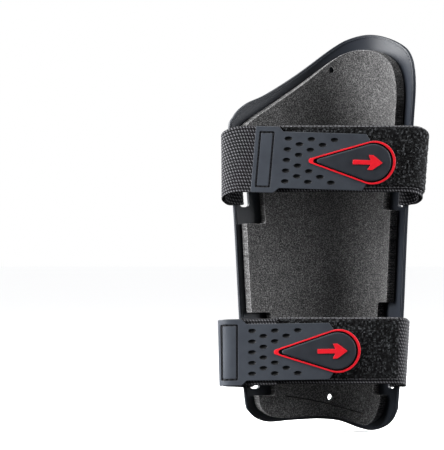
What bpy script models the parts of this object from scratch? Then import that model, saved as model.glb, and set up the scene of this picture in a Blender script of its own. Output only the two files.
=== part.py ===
"""Shin guard: a formed plastic shell, a foam pad, and two straps that close over the calf.

+Z runs up the shin, +Y points back to the calf, and +X is the low side of the shell's sloping top.
The origin is on the leg's axis, level with the lowest point of the shell.

Sizes are in millimetres. Each piece starts as a flat blank and is then bent to its place, in metres:
- a blank of the shell or the pad is drawn on the unrolled front surface of the shell. Its x is the
  distance round the shell from the crest, its y is the height, and its z is the depth in front.
- a blank of a strap is drawn on a track, which is the strap's middle line. Its x is the distance
  along the track, its y is the place across the strap, and its z is the height over the track.
"""

import math

import bmesh
import bpy
import numpy as np
from mathutils import Vector

MM = 0.001
NAME = "shin_guard"

# Shell
CREST_X = -12.0  # the shell's front ridge stands off centre, towards the high side
CREST_RADIUS = 56.0
STEEP_SIDE_REACH = 62.5  # half the width of the ellipse that makes the high side
SHALLOW_SIDE_SLOPE = 0.82  # the low side tends to this slope
BOTTOM_SCALE = 0.835  # the section shrinks to this at the bottom edge
FULL_SCALE_HEIGHT = 265.0
BOW = 3.0  # the ends of the crest stand this far back from its middle
MIDDLE_HEIGHT = 150.0
LIP_HEIGHT = 30.0
LIP_KICK = 6.0  # the bottom edge turns out over the instep
LEG_AXIS_DEPTH = 36.0  # from the front of the crest to the leg's axis
WALL = 2.6
OUTLINE = [  # seen from the front, clockwise from the lower left: across, up
    (-58.8, 27), (-62, 85), (-65.2, 160), (-69.2, 228), (-71, 264), (-67.5, 284), (-57, 294),
    (-40, 299.5), (-24, 297.5), (-8.5, 290), (20, 269), (43, 254), (58, 246.5), (67.5, 236.5),
    (70.8, 222), (66.4, 160), (62.4, 84), (58.8, 27), (54.5, 13.5), (43, 7), (23, 7.8), (2, 8.4),
    (-14, 6.8), (-29, 1.8), (-40, 0), (-51, 4.2), (-57, 13.5),
]
OUTLINE_STEPS = 4
HOLE_RADIUS = 2.3
HOLE_SIDES = 12
SHELL_HOLES = [(-14, 279), (-5, 25)]

# Slots and the bars outside them
SLOT_HEIGHT = 52.4
SLOT_WIDTH = 8.5
SLOT_CORNER = 3.0
BAR_WIDTH = 5.5
RIM_WIDTH = 2.0
RIM_HEIGHT = 0.8
RIM_STEP = 0.2  # from the slot's edge to the rim's

# Stiffening relief on the front: across, up
RELIEF_HEIGHT = 4.0
RELIEF_ROOT = 1.0  # how deep it starts inside the wall
SPEAR = [(-22, 270), (17, 186), (-7, 32), (-42, 170)]
SPEAR_TOP = [(-20, 259), (15, 186), (-7.5, 47), (-33, 171)]
SPEAR_WINDOW = [(-11, 214), (2, 164), (-8, 104), (-22, 158)]
SPEAR_WINDOW_FLOOR = [(-11, 204), (-1, 164), (-8.5, 116), (-19, 158)]
BLADES = [  # outline, then its raised edge
    ([(-53, 208), (-45, 168), (-42, 104), (-51, 160)],
     [(-51.5, 196), (-46.6, 168), (-43, 116), (-48.5, 160)]),
    ([(34, 214), (39, 160), (26, 98), (29, 160)],
     [(34, 202), (37, 162), (27, 110), (30.6, 160)]),
    ([(-10.5, 190), (-4.5, 163), (-9, 128), (-16, 159)],
     [(-10.5, 184), (-6, 163), (-9.3, 134), (-13, 159)]),
]
BLADE_HEIGHT = 3.0

# Pad
PAD_THICKNESS = 7.0
GAP = 0.3
FILM_THICKNESS = 0.5
PAD_OUTLINE = [
    (-52.5, 28), (-57, 85), (-60.5, 160), (-64, 226), (-65.5, 256), (-61.5, 275), (-51, 284.5),
    (-36, 288), (-22, 286.5), (-7, 280), (20, 261), (43, 245), (58, 234.5), (65.5, 226), (66, 216),
    (62.6, 160), (58.4, 84), (53.6, 27), (47, 14.5), (36, 11.4), (20, 12), (2, 12.6), (-14, 11.4),
    (-30, 7.6), (-40, 6.2), (-47, 10.5), (-50.5, 18),
]
PAD_HOLES = [(-6.5, 273), (-5, 25)]
NOTCH_MARGIN = 8.5  # from a slot to the pad, round the shell
NOTCH_CORNER = 2.5
NOTCH_REACH = 30.0  # a notch's cutter reaches this far past the shell's edge
FILM_CENTRE = (-10.3, 148.0)
FILM_SCALE = (0.52, 0.84)  # the film's width and height, of the pad's

# Straps
WEB_WIDTH = 50.0
WEB_THICKNESS = 1.6
LAYER_OFFSET = 1.0  # the middle of each webbing layer, from the track
LOOP_RADIUS = 5.0  # the webbing's middle line round a bar
LOOP_CLOSES = 12.0  # the two layers lie together this far from the bar
PILE_WIDTH = 44.0
PILE_THICKNESS = 1.4
PILE_RAISE = 1.5  # the pile strip is sewn a little above the webbing's middle
PILE_START = 4.4  # from the webbing's free end to the pile
BAND_BELOW_TAB = 2.9  # from the tab's track in to the band's
TURN_LENGTH = 34.0  # a strap turns from its bar's lean to its rear lean over this length
STRAPS = {
    "upper": {
        "height": 195.0, "lean": 0.085, "rear_depth": 66.0, "rear_drop": 8.0,
        "tab": {"side": 1, "angle": 43, "reach": 17, "meet": 56, "meet_reach": 20, "end": -62,
                "rear_height": 203.0, "rise": 0.03, "notch": (12.6, 5)},
        "band": {"side": -1, "angle": 165, "reach": 14.5, "meet": -64, "meet_reach": 17, "end": 36.5,
                 "rear_height": 204.8, "rise": 0.0, "notch": (2.5, 5)},
        "tab_start": 50.4, "tail_end": 33.5, "inner_layer": 24.0, "pile_end": -79.0,
    },
    "lower": {
        "height": 58.0, "lean": 0.0, "rear_depth": 58.0, "rear_drop": 7.0,
        "tab": {"side": 1, "angle": 3, "reach": 17, "meet": 66, "meet_reach": 12, "end": -36,
                "rear_height": 60.9, "rise": -0.018, "notch": (5, 5)},
        "band": {"side": -1, "angle": 140, "reach": 7, "meet": -56, "meet_reach": 9, "end": 36.5,
                 "rear_height": 61.2, "rise": 0.0, "notch": (5, 12.6)},
        "tab_start": 73.12, "tail_end": 33.5, "inner_layer": 20.0, "pile_end": -57.0,
    },
}
REAR_HALF_WIDTH = 75.0  # where the rear line has dropped by rear_drop

# Moulded tab: lengths run from its sewn end
TAB_BASE = 2.1  # its underside, over the track
TAB_THICKNESS = 2.2
HEAD_LENGTH = 17.0
HEAD_HALF = 24.8
SHOULDER = 20.7
BODY_HALF = 21.2
BODY_LENGTH = 82.0
LOBE_CENTRE = 89.0
LOBE_RADIUS = 16.5
LOBE_MEETS = math.radians(102.5)  # where the tab's slanted end runs into the lobe
DROP_HALF_ANGLE = math.radians(18.2)  # the teardrop's straight sides, from its middle line
DROP_TIP_RADIUS = 2.0
ON_TOP = 0.2  # gap under what lies on the tab
OUTLINE_INSET = 0.2
OUTLINE_WIDTH = 1.35
OUTLINE_SHIFT = 0.6  # its hole stands this far towards the tip, so the red is widest round the lobe
OUTLINE_THICKNESS = 0.6
BUTTON_INSET = 2.6
BUTTON_SHIFT = 1.0
BUTTON_HEIGHT = 1.5
ARROW_THICKNESS = 0.5
ARROW_START = 73.5
ARROW_LENGTH = 22.0
ARROW_HEAD = 9.0
ARROW_HALF = 5.6
ARROW_STEM = 1.7
STITCH_BOX = (3.0, 14.2, 21.0)  # start, end and half the width of the stitched rectangle
GROOVE_WIDTH = 1.6
GROOVE_DEPTH = 0.9
THREAD_WIDTH = 0.8
PATCH = (45.0, 97.0, 14.5)  # start, end and half the width of the hook patch
PATCH_CORNER = 6.0
PATCH_THICKNESS = 1.0
TACK_WIDTH = 1.6
TACK_THICKNESS = 0.4
TACK_INSET = 3.0

SHELL_COLUMN = 8.0  # the widest strip of a blank that is bent round the shell
SHELL_ROW = 30.0
LIP_ROW = 10.0
TURN_STEP = math.radians(14)  # the most that a strap turns between two cuts
STRAP_STEP = 12.0


# --- The shell's front surface ---

def section():
    """The section's distance from the crest round the surface, across and back, at full scale."""
    across = np.linspace(-STEEP_SIDE_REACH + 0.2, 110.0, 1400)
    deep = STEEP_SIDE_REACH**2 / CREST_RADIUS
    steep = np.clip(across, -STEEP_SIDE_REACH, 0) / STEEP_SIDE_REACH
    left = deep * (1 - np.sqrt(1 - steep**2))
    flat = SHALLOW_SIDE_SLOPE**2 * CREST_RADIUS
    right = np.sqrt(flat**2 + (SHALLOW_SIDE_SLOPE * across) ** 2) - flat
    back = np.where(across < 0, left, right)
    steps = np.hypot(np.diff(across), np.diff(back))
    around = np.concatenate([[0], np.cumsum(steps)])
    return around - np.interp(0, across, around), across, back


AROUND, ACROSS, BACK = section()


def scale_at(height):
    return BOTTOM_SCALE + (1 - BOTTOM_SCALE) * height / FULL_SCALE_HEIGHT


def set_back(height):
    """How far back the crest lies at this height, with its bow and its bottom lip."""
    bow = BOW * ((height - MIDDLE_HEIGHT) / MIDDLE_HEIGHT) ** 2
    below = max(0.0, (LIP_HEIGHT - height) / LIP_HEIGHT)
    return bow - LIP_KICK * below**2


def surface(around, height):
    """The point of the shell's front surface in millimetres."""
    scale = scale_at(height)
    x = CREST_X + scale * float(np.interp(around / scale, AROUND, ACROSS))
    y = scale * float(np.interp(around / scale, AROUND, BACK)) + set_back(height)
    return Vector((x, y - LEG_AXIS_DEPTH, height))


def facing(around, height, step=0.5):
    """The surface's unit normal, towards the front."""
    along = surface(around + step, height) - surface(around - step, height)
    up = surface(around, height + step) - surface(around, height - step)
    return along.cross(up).normalized()


def unrolled(x, height):
    """The blank's point for a point of the front view."""
    scale = scale_at(height)
    return scale * float(np.interp((x - CREST_X) / scale, ACROSS, AROUND)), height


def on_shell(co):
    return (surface(co.x, co.y) + facing(co.x, co.y) * co.z) * MM


# --- Outlines ---

def smooth_outline(points, steps):
    """A closed curve through the points, with steps pieces from each to the next."""
    at = np.array(points, float)
    before, after, beyond = np.roll(at, 1, 0), np.roll(at, -1, 0), np.roll(at, -2, 0)
    pieces = []
    for t in np.arange(steps) / steps:
        pieces.append(0.5 * (
            2 * at + (after - before) * t + (2 * before - 5 * at + 4 * after - beyond) * t**2
            + (3 * at - before - 3 * after + beyond) * t**3
        ))
    return [tuple(p) for p in np.stack(pieces, 1).reshape(-1, 2)]


def rounded(points, radius, steps=3):
    """A closed polygon with each corner replaced by an arc."""
    found = []
    for i, corner in enumerate(points):
        corner = Vector(corner)
        back = Vector(points[i - 1]) - corner
        ahead = Vector(points[(i + 1) % len(points)]) - corner
        half = back.angle(ahead) / 2
        cut = min(radius / math.tan(half), 0.45 * back.length, 0.45 * ahead.length)
        start, end = corner + back.normalized() * cut, corner + ahead.normalized() * cut
        for k in range(steps + 1):
            t = k / steps
            point = start * (1 - t) ** 2 + corner * (2 * t * (1 - t)) + end * t**2
            found.append((point.x, point.y))
    return found


def rectangle(start, end, low, high):
    return [(start, low), (end, low), (end, high), (start, high)]


def circle(centre, radius, sides=HOLE_SIDES):
    turns = [2 * math.pi * k / sides for k in range(sides)]
    return [(centre[0] + radius * math.cos(a), centre[1] + radius * math.sin(a)) for a in turns]


def edge_at(side, height):
    """How far across the shell's edge stands at this height, on the side of +X or -X."""
    line = np.array([p for p in smooth_outline(OUTLINE, 8) if p[0] * side > 50 and 20 < p[1] < 240])
    line = line[np.argsort(line[:, 1])]
    return float(np.interp(height, line[:, 1], line[:, 0]))


def beside_edge(side, height, inward):
    """The blank's point that lies inward of the shell's edge, measured round the shell."""
    around, _ = unrolled(edge_at(side, height), height)
    return around - side * inward, height


def slot_outline(side, height, grow=0.0):
    low, high = height - SLOT_HEIGHT / 2 - grow, height + SLOT_HEIGHT / 2 + grow
    near, far = BAR_WIDTH - grow, BAR_WIDTH + SLOT_WIDTH + grow
    corners = [beside_edge(side, low, near), beside_edge(side, high, near),
               beside_edge(side, high, far), beside_edge(side, low, far)]
    return rounded(corners, SLOT_CORNER + grow)


def teardrop(inset, shift=0.0, steps=16, tip_steps=4):
    """The outline of the tab's teardrop, drawn in by inset and moved towards its tip, which is rounded."""
    radius = LOBE_RADIUS - inset
    reach = radius / math.sin(DROP_HALF_ANGLE)
    turn = math.pi / 2 + DROP_HALF_ANGLE
    tip_radius = DROP_TIP_RADIUS * radius / LOBE_RADIUS
    centre = LOBE_CENTRE - shift
    tip = centre - reach + tip_radius / math.sin(DROP_HALF_ANGLE)
    found = [(centre + radius * math.cos(a), radius * math.sin(a))
             for a in np.linspace(turn, -turn, steps + 1)]
    found += [(tip + tip_radius * math.cos(a), tip_radius * math.sin(a))
              for a in np.linspace(2 * math.pi - turn, turn, tip_steps + 1)]
    return found


def arrow_outline():
    """A pull arrow with a swept-back head, pointing to the tab's free end."""
    end, neck = ARROW_START + ARROW_LENGTH, ARROW_START + ARROW_LENGTH - ARROW_HEAD
    upper = [(ARROW_START, ARROW_STEM), (neck, ARROW_STEM), (neck - ARROW_STEM, ARROW_HALF),
             (neck + ARROW_STEM, ARROW_HALF)]
    return upper + [(end, 0)] + [(x, -y) for x, y in reversed(upper)]


# --- Solids ---

def place(name, mesh):
    obj = bpy.data.objects.new(name, mesh)
    PARTS.objects.link(obj)
    return obj


def block(name, base, top, low, high):
    """A block whose outline changes from base to top between two heights."""
    bm = bmesh.new()
    rings = [[bm.verts.new((x, y, z)) for x, y in ring] for ring, z in ((base, low), (top, high))]
    bm.faces.new(rings[0])
    bm.faces.new(rings[1])
    for i in range(len(base)):
        j = (i + 1) % len(base)
        bm.faces.new((rings[0][i], rings[0][j], rings[1][j], rings[1][i]))
    bmesh.ops.recalc_face_normals(bm, faces=bm.faces)
    mesh = bpy.data.meshes.new(name)
    bm.to_mesh(mesh)
    bm.free()
    return place(name, mesh)


def plate(name, outline, low, high):
    """A flat plate from low to high, as a filled curve made into a mesh."""
    curve = bpy.data.curves.new(name, "CURVE")
    curve.dimensions = "2D"
    curve.fill_mode = "BOTH"
    curve.extrude = (high - low) / 2
    spline = curve.splines.new("POLY")
    spline.points.add(len(outline) - 1)
    for point, at in zip(spline.points, outline):
        point.co = (at[0], at[1], 0, 1)
    spline.use_cyclic_u = True
    source = place(name, curve)
    mesh = bpy.data.meshes.new_from_object(source.evaluated_get(bpy.context.evaluated_depsgraph_get()))
    bpy.data.objects.remove(source)
    bm = bmesh.new()
    bm.from_mesh(mesh)
    bmesh.ops.remove_doubles(bm, verts=bm.verts, dist=0.0005)
    bmesh.ops.translate(bm, verts=bm.verts, vec=(0, 0, (low + high) / 2))
    bmesh.ops.recalc_face_normals(bm, faces=bm.faces)
    bm.to_mesh(mesh)
    bm.free()
    return place(name, mesh)


def blank(name, outlines, low, high):
    """A flat plate from low to high. The first outline is its edge, and the others are holes."""
    made = plate(name, outlines[0], low, high)
    for hole in outlines[1:]:
        combine(made, plate("hole", hole, low - 1, high + 1), "DIFFERENCE")
    return made


def combine(obj, other, operation):
    """Joins or cuts obj with other, which is used up."""
    boolean = obj.modifiers.new(operation.lower(), "BOOLEAN")
    boolean.operation = operation
    boolean.object = other
    mesh = bpy.data.meshes.new_from_object(obj.evaluated_get(bpy.context.evaluated_depsgraph_get()))
    obj.modifiers.clear()
    obj.data = mesh
    bpy.data.objects.remove(other)


def score(obj, cuts, across):
    """Cuts the blank's faces along straight lines, so that it can bend there."""
    bm = bmesh.new()
    bm.from_mesh(obj.data)
    bmesh.ops.triangulate(bm, faces=bm.faces)
    normal = Vector((0, 1, 0)) if across else Vector((1, 0, 0))
    for at in cuts:
        geometry = bm.verts[:] + bm.edges[:] + bm.faces[:]
        bmesh.ops.bisect_plane(bm, geom=geometry, dist=0.001, plane_co=normal * at, plane_no=normal)
    bm.to_mesh(obj.data)
    bm.free()


def join_flat(obj, columns, rows):
    """Joins the blank's coplanar faces between its cuts."""

    def inner(edge):
        if len(edge.link_faces) != 2 or edge.calc_face_angle() > 0.0001:
            return False
        a, b = (v.co for v in edge.verts)
        beside_column = min(abs(a.x - c) + abs(b.x - c) for c in columns)
        beside_row = min(abs(a.y - r) + abs(b.y - r) for r in rows)
        return min(beside_column, beside_row) > 0.01

    bm = bmesh.new()
    bm.from_mesh(obj.data)
    bmesh.ops.dissolve_edges(bm, edges=[e for e in bm.edges if inner(e)], use_verts=True)
    bm.to_mesh(obj.data)
    bm.free()


def bend(obj, bent):
    """Moves each point of the blank to its place, after splitting the faces into triangles."""
    bm = bmesh.new()
    bm.from_mesh(obj.data)
    bmesh.ops.remove_doubles(bm, verts=bm.verts, dist=0.002)
    bmesh.ops.dissolve_degenerate(bm, edges=bm.edges, dist=0.002)
    bmesh.ops.triangulate(bm, faces=bm.faces)
    for vertex in bm.verts:
        vertex.co = bent(vertex.co)
    bm.to_mesh(obj.data)
    bm.free()


def finish(obj, material, smooth_angle=35):
    obj.data.materials.clear()
    obj.data.materials.append(material)
    obj.data.shade_smooth()
    obj.data.set_sharp_from_angle(angle=math.radians(smooth_angle))
    return obj


def form_on_shell(obj):
    xs = [v.co.x for v in obj.data.vertices]
    ys = [v.co.y for v in obj.data.vertices]
    columns = [(k + 0.5) * SHELL_COLUMN for k in range(-20, 20)]
    rows = [LIP_ROW, 2 * LIP_ROW, 3 * LIP_ROW] + [k * SHELL_ROW for k in range(2, 10)]
    score(obj, [c for c in columns if min(xs) < c < max(xs)], across=False)
    score(obj, [r for r in rows if min(ys) + 1 < r < max(ys) - 1], across=True)
    join_flat(obj, columns, rows)
    bend(obj, on_shell)


def material(name, colour, roughness, metallic=0.0):
    made = bpy.data.materials.new(name)
    made.use_nodes = True
    shader = made.node_tree.nodes["Principled BSDF"]
    shader.inputs["Base Color"].default_value = (*colour, 1)
    shader.inputs["Roughness"].default_value = roughness
    shader.inputs["Metallic"].default_value = metallic
    return made


# --- Strap tracks ---

class Track:
    """A strap's middle line, with the strap's width direction at each of its points."""

    def __init__(self, points, widths):
        self.points = np.array(points, float)
        self.widths = np.array(widths, float)
        steps = np.linalg.norm(np.diff(self.points, axis=0), axis=1)
        self.along = np.concatenate([[0], np.cumsum(steps)])
        tangents = np.gradient(self.points, self.along, axis=0, edge_order=1)
        outward = np.cross(tangents, self.widths)
        self.outward = outward / np.linalg.norm(outward, axis=1)[:, None]
        self.tangents = tangents

    def length(self):
        return float(self.along[-1])

    def read(self, table, s):
        return Vector([float(np.interp(s, self.along, table[:, k])) for k in range(3)])

    def at(self, s, across=0.0, over=0.0):
        """The point at s along the track, in millimetres."""
        width = self.read(self.widths, s).normalized()
        outward = self.read(self.outward, s).normalized()
        return self.read(self.points, s) + width * across + outward * over

    def bent(self, co):
        return self.at(co.x, co.y, co.z) * MM

    def backward(self):
        return Track(self.points[::-1], self.widths[::-1])

    def where_across(self, x):
        """How far along the track it crosses x on its rear stretch."""
        turn = int(np.argmax(np.abs(self.points[:, 0])))
        rear = slice(turn, None) if turn < len(self.points) / 2 else slice(0, turn + 1)
        xs, along = self.points[rear, 0], self.along[rear]
        order = np.argsort(xs)
        return float(np.interp(x, xs[order], along[order]))

    def cuts(self):
        """Places along the track that are close enough together for its turns."""
        found, turned, last = [], 0.0, 0.0
        for i in range(1, len(self.along) - 1):
            a, b = Vector(self.tangents[i - 1]), Vector(self.tangents[i])
            turned += a.angle(b)
            if turned > TURN_STEP or self.along[i] - last > STRAP_STEP:
                found.append(float(self.along[i]))
                turned, last = 0.0, self.along[i]
        return found


def bar_axis(side, height):
    """The middle of the bar outside a slot, and the direction of its length."""
    ends = []
    for end in (-1, 1):
        around, up = beside_edge(side, height + end * WEB_WIDTH / 2, BAR_WIDTH / 2)
        ends.append(surface(around, up) - facing(around, up) * (WALL / 2))
    return (ends[0] + ends[1]) / 2, (ends[1] - ends[0]).normalized()


def smooth_step(t):
    t = min(max(t, 0.0), 1.0)
    return t * t * (3 - 2 * t)


def tail_track(strap, half, deeper=0.0):
    """The track of one half of a strap, from its bar to its free end."""
    bar, lean = bar_axis(half["side"], strap["height"])
    angle = math.radians(half["angle"])

    def rear(x):
        depth = strap["rear_depth"] - deeper - strap["rear_drop"] * (x / REAR_HALF_WIDTH) ** 2
        return Vector((x, depth - LEG_AXIS_DEPTH, half["rear_height"] + half["rise"] * x))

    meet = rear(half["meet"])
    slope = (rear(half["meet"] + half["side"]) - meet).normalized()
    leave = bar + Vector((math.cos(angle), math.sin(angle), 0)) * half["reach"]
    arrive = meet + slope * half["meet_reach"]
    points = []
    for t in np.linspace(0, 1, 40):
        u = 1 - t
        points.append(bar * u**3 + leave * (3 * u * u * t) + arrive * (3 * u * t * t) + meet * t**3)
    points += [rear(x) for x in np.linspace(half["meet"], half["end"], 40)[1:]]
    rear_lean = Vector((-strap["lean"], 0, 1)).normalized()
    widths, gone = [], 0.0
    for i, point in enumerate(points):
        gone += (point - points[i - 1]).length if i else 0.0
        widths.append(lean.lerp(rear_lean, smooth_step(gone / TURN_LENGTH)).normalized())
    return Track(points, widths)


def loop_track(tail, first, last):
    """The webbing's own track: down one side of the tail, round the bar and up the other side."""

    def half_gap(s):
        return LAYER_OFFSET + (LOOP_RADIUS - LAYER_OFFSET) * (1 - smooth_step(s / LOOP_CLOSES))

    def layer(length, sign):
        places = np.linspace(0, length, max(12, int(length / 2)))
        return [(tail.at(s, 0, sign * half_gap(s)), tail.read(tail.widths, s)) for s in places]

    out, width = Vector(tail.outward[0]), Vector(tail.widths[0])
    ahead = width.cross(out)
    centre = Vector(tail.points[0])
    round_bar = []
    for angle in np.linspace(-90, 90, 19)[1:-1]:
        a = math.radians(angle)
        round_bar.append((centre + (out * math.sin(a) - ahead * math.cos(a)) * LOOP_RADIUS, width))
    path = layer(first, -1)[::-1] + round_bar + layer(last, 1)
    return Track([p for p, _ in path], [w for _, w in path])


# --- Parts ---

def unrolled_all(points):
    return [unrolled(x, z) for x, z in points]


def make_shell(finish_material):
    outlines = [unrolled_all(smooth_outline(OUTLINE, OUTLINE_STEPS))]
    slots = [(side, strap["height"]) for strap in STRAPS.values() for side in (-1, 1)]
    outlines += [slot_outline(side, height) for side, height in slots]
    outlines += [circle(unrolled(*hole), HOLE_RADIUS) for hole in SHELL_HOLES]
    shell = blank("shell", outlines, -WALL, 0)
    for side, height in slots:
        ring = [slot_outline(side, height, RIM_STEP + RIM_WIDTH), slot_outline(side, height, RIM_STEP)]
        combine(shell, blank("rim", ring, -RELIEF_ROOT, RIM_HEIGHT), "UNION")
    spear = block("spear", unrolled_all(SPEAR), unrolled_all(SPEAR_TOP), -RELIEF_ROOT, RELIEF_HEIGHT)
    window = block("window", unrolled_all(SPEAR_WINDOW_FLOOR), unrolled_all(SPEAR_WINDOW),
                     -2 * RELIEF_ROOT, RELIEF_HEIGHT + RELIEF_ROOT)
    combine(spear, window, "DIFFERENCE")
    combine(shell, spear, "UNION")
    for base, edge in BLADES:
        blade = block("blade", unrolled_all(base), unrolled_all(edge), -RELIEF_ROOT, BLADE_HEIGHT)
        combine(shell, blade, "UNION")
    form_on_shell(shell)
    return finish(shell, finish_material)


def make_pad(finish_material):
    top = -WALL - 2 * GAP - FILM_THICKNESS
    outlines = [unrolled_all(smooth_outline(PAD_OUTLINE, 3))]
    outlines += [circle(unrolled(*hole), HOLE_RADIUS) for hole in PAD_HOLES]
    pad = blank("pad", outlines, top - PAD_THICKNESS, top)
    for strap in STRAPS.values():
        for half in (strap["tab"], strap["band"]):
            side, (below, above) = half["side"], half["notch"]
            low = strap["height"] - SLOT_HEIGHT / 2 - below
            high = strap["height"] + SLOT_HEIGHT / 2 + above
            near, far = -NOTCH_REACH, BAR_WIDTH + SLOT_WIDTH + NOTCH_MARGIN
            corners = [beside_edge(side, low, near), beside_edge(side, high, near),
                       beside_edge(side, high, far), beside_edge(side, low, far)]
            notch = blank("notch", [rounded(corners, NOTCH_CORNER)], top - PAD_THICKNESS - 1, top + 1)
            combine(pad, notch, "DIFFERENCE")
    form_on_shell(pad)
    return finish(pad, finish_material)


def make_film(finish_material):
    """The adhesive film that holds the pad in the shell, clear of the pad's notches and holes."""
    top = -WALL - GAP
    (across, up), (width, height) = FILM_CENTRE, FILM_SCALE
    edge = [(across + (x - across) * width, up + (z - up) * height) for x, z in PAD_OUTLINE]
    film = blank("pad_adhesive", [unrolled_all(edge)], top - FILM_THICKNESS, top)
    form_on_shell(film)
    return finish(film, finish_material)


def on_track(obj, track, finish_material, start=0.0):
    """Bends a blank along a track, with the blank's x counted from start."""
    low = min(v.co.x for v in obj.data.vertices)
    high = max(v.co.x for v in obj.data.vertices)
    score(obj, [c - start for c in track.cuts() if low + 0.5 < c - start < high - 0.5], across=False)
    bend(obj, lambda co: track.bent(Vector((co.x + start, co.y, co.z))))
    return finish(obj, finish_material)


def make_tab(name, track, start, materials):
    """The moulded tab and what is on it."""
    top = TAB_BASE + TAB_THICKNESS
    lobe = [(LOBE_CENTRE + LOBE_RADIUS * math.cos(a), LOBE_RADIUS * math.sin(a))
            for a in np.linspace(LOBE_MEETS, -LOBE_MEETS, 17)]
    outline = [(0, HEAD_HALF), (HEAD_LENGTH, HEAD_HALF), (SHOULDER, BODY_HALF), (BODY_LENGTH, BODY_HALF)]
    outline += lobe + [(x, -y) for x, y in reversed(outline)]
    first, last, half = STITCH_BOX
    ring = rectangle(first, last, -half, half)
    inner = rectangle(first + GROOVE_WIDTH, last - GROOVE_WIDTH, -half + GROOVE_WIDTH, half - GROOVE_WIDTH)
    tab = blank(f"{name}_tab", [outline], TAB_BASE, top)
    combine(tab, blank("groove", [ring, inner], top - GROOVE_DEPTH, top + 1), "DIFFERENCE")
    on_track(tab, track, materials["tab_rubber"], start)

    play = (GROOVE_WIDTH - THREAD_WIDTH) / 2
    outer = rectangle(first + play, last - play, -half + play, half - play)
    wide = play + THREAD_WIDTH
    inner = rectangle(first + wide, last - wide, -half + wide, half - wide)
    thread = blank(f"{name}_tab_stitching", [outer, inner], top - GROOVE_DEPTH + GAP, top - ON_TOP)
    on_track(thread, track, materials["thread"], start)

    level = top + ON_TOP
    ring = [teardrop(OUTLINE_INSET), teardrop(OUTLINE_INSET + OUTLINE_WIDTH, OUTLINE_SHIFT)]
    outline = blank(f"{name}_tab_outline", ring, level, level + OUTLINE_THICKNESS)
    on_track(outline, track, materials["red_inlay"], start)
    drop = teardrop(BUTTON_INSET, BUTTON_SHIFT)
    button = blank(f"{name}_tab_button", [drop], level, level + BUTTON_HEIGHT)
    on_track(button, track, materials["tab_rubber"], start)
    level += BUTTON_HEIGHT + ON_TOP
    arrow = blank(f"{name}_tab_arrow", [arrow_outline()], level, level + ARROW_THICKNESS)
    on_track(arrow, track, materials["red_inlay"], start)

    first, last, half = PATCH
    patch = rounded(rectangle(first, last, -half, half), PATCH_CORNER)
    hook = blank(f"{name}_hook_patch", [patch], TAB_BASE - GAP - PATCH_THICKNESS, TAB_BASE - GAP)
    on_track(hook, track, materials["hook"], start)


def make_web(name, track, finish_material):
    half, thick = WEB_WIDTH / 2, WEB_THICKNESS / 2
    web = blank(name, [rectangle(0, track.length(), -half, half)], -thick, thick)
    return on_track(web, track, finish_material)


def make_tack(name, track, at, over, finish_material):
    """The row of stitches that holds a webbing's folded end."""
    half = WEB_WIDTH / 2 - TACK_INSET
    tack = blank(name, [rectangle(at, at + TACK_WIDTH, -half, half)], over, over + TACK_THICKNESS)
    return on_track(tack, track, finish_material)


def add_pivot(name, side, height, pieces):
    """Hangs a strap half on an empty at its bar, with the empty's z along the bar."""
    middle, lean = bar_axis(side, height)
    pivot = bpy.data.objects.new(name, None)
    pivot.empty_display_size = 0.02
    pivot.location = middle * MM
    pivot.rotation_euler = lean.to_track_quat("Z", "Y").to_euler()
    PARTS.objects.link(pivot)
    bpy.context.view_layer.update()
    for piece in pieces:
        piece.parent = pivot
        piece.matrix_parent_inverse = pivot.matrix_world.inverted()


def make_strap(name, strap, materials):
    before = set(PARTS.objects)
    tab_tail = tail_track(strap, strap["tab"])
    start = tab_tail.where_across(strap["tab_start"])
    make_tab(name, tab_tail, start, materials)
    loop = loop_track(tab_tail, strap["inner_layer"], tab_tail.where_across(strap["tail_end"]))
    make_web(f"{name}_tab_loop", loop, materials["webbing"])
    tack_over = WEB_THICKNESS / 2 + GAP
    make_tack(f"{name}_loop_tack", loop, TACK_INSET, tack_over, materials["thread"])

    tab_pieces = set(PARTS.objects) - before
    add_pivot(f"{name}_tab_pivot", strap["tab"]["side"], strap["height"], tab_pieces)

    before = set(PARTS.objects)
    band_tail = tail_track(strap, strap["band"], deeper=BAND_BELOW_TAB)
    band = loop_track(band_tail, band_tail.length(), strap["inner_layer"])
    make_web(f"{name}_band", band, materials["webbing"])
    tack_at = band.length() - TACK_INSET - TACK_WIDTH
    make_tack(f"{name}_band_tack", band, tack_at, tack_over, materials["thread"])
    outside = band_tail.backward()
    pile_end = outside.where_across(strap["pile_end"])
    low = LAYER_OFFSET + WEB_THICKNESS / 2 + ON_TOP
    half = PILE_WIDTH / 2
    edge = rectangle(PILE_START, pile_end, PILE_RAISE - half, PILE_RAISE + half)
    pile = blank(f"{name}_loop_pile", [edge], low, low + PILE_THICKNESS)
    on_track(pile, outside, materials["pile"])
    band_pieces = set(PARTS.objects) - before
    add_pivot(f"{name}_band_pivot", strap["band"]["side"], strap["height"], band_pieces)


def main():
    for old in list(bpy.data.objects):
        bpy.data.objects.remove(old)
    bpy.context.scene.collection.children.link(PARTS)
    materials = {
        "shell_plastic": material("shell_plastic", (0.018, 0.019, 0.022), 0.32),
        "foam": material("foam", (0.075, 0.068, 0.066), 0.95),
        "film": material("film", (0.55, 0.52, 0.45), 0.6),
        "tab_rubber": material("tab_rubber", (0.045, 0.05, 0.06), 0.42),
        "red_inlay": material("red_inlay", (0.72, 0.012, 0.03), 0.4),
        "webbing": material("webbing", (0.03, 0.03, 0.032), 0.8),
        "pile": material("pile", (0.008, 0.009, 0.01), 1.0),
        "hook": material("hook", (0.01, 0.01, 0.01), 0.7),
        "thread": material("thread", (0.006, 0.006, 0.007), 0.7),
    }
    make_shell(materials["shell_plastic"])
    make_pad(materials["foam"])
    make_film(materials["film"])
    for name, strap in STRAPS.items():
        make_strap(name, strap, materials)


PARTS = bpy.data.collections.new(NAME)
main()
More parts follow.
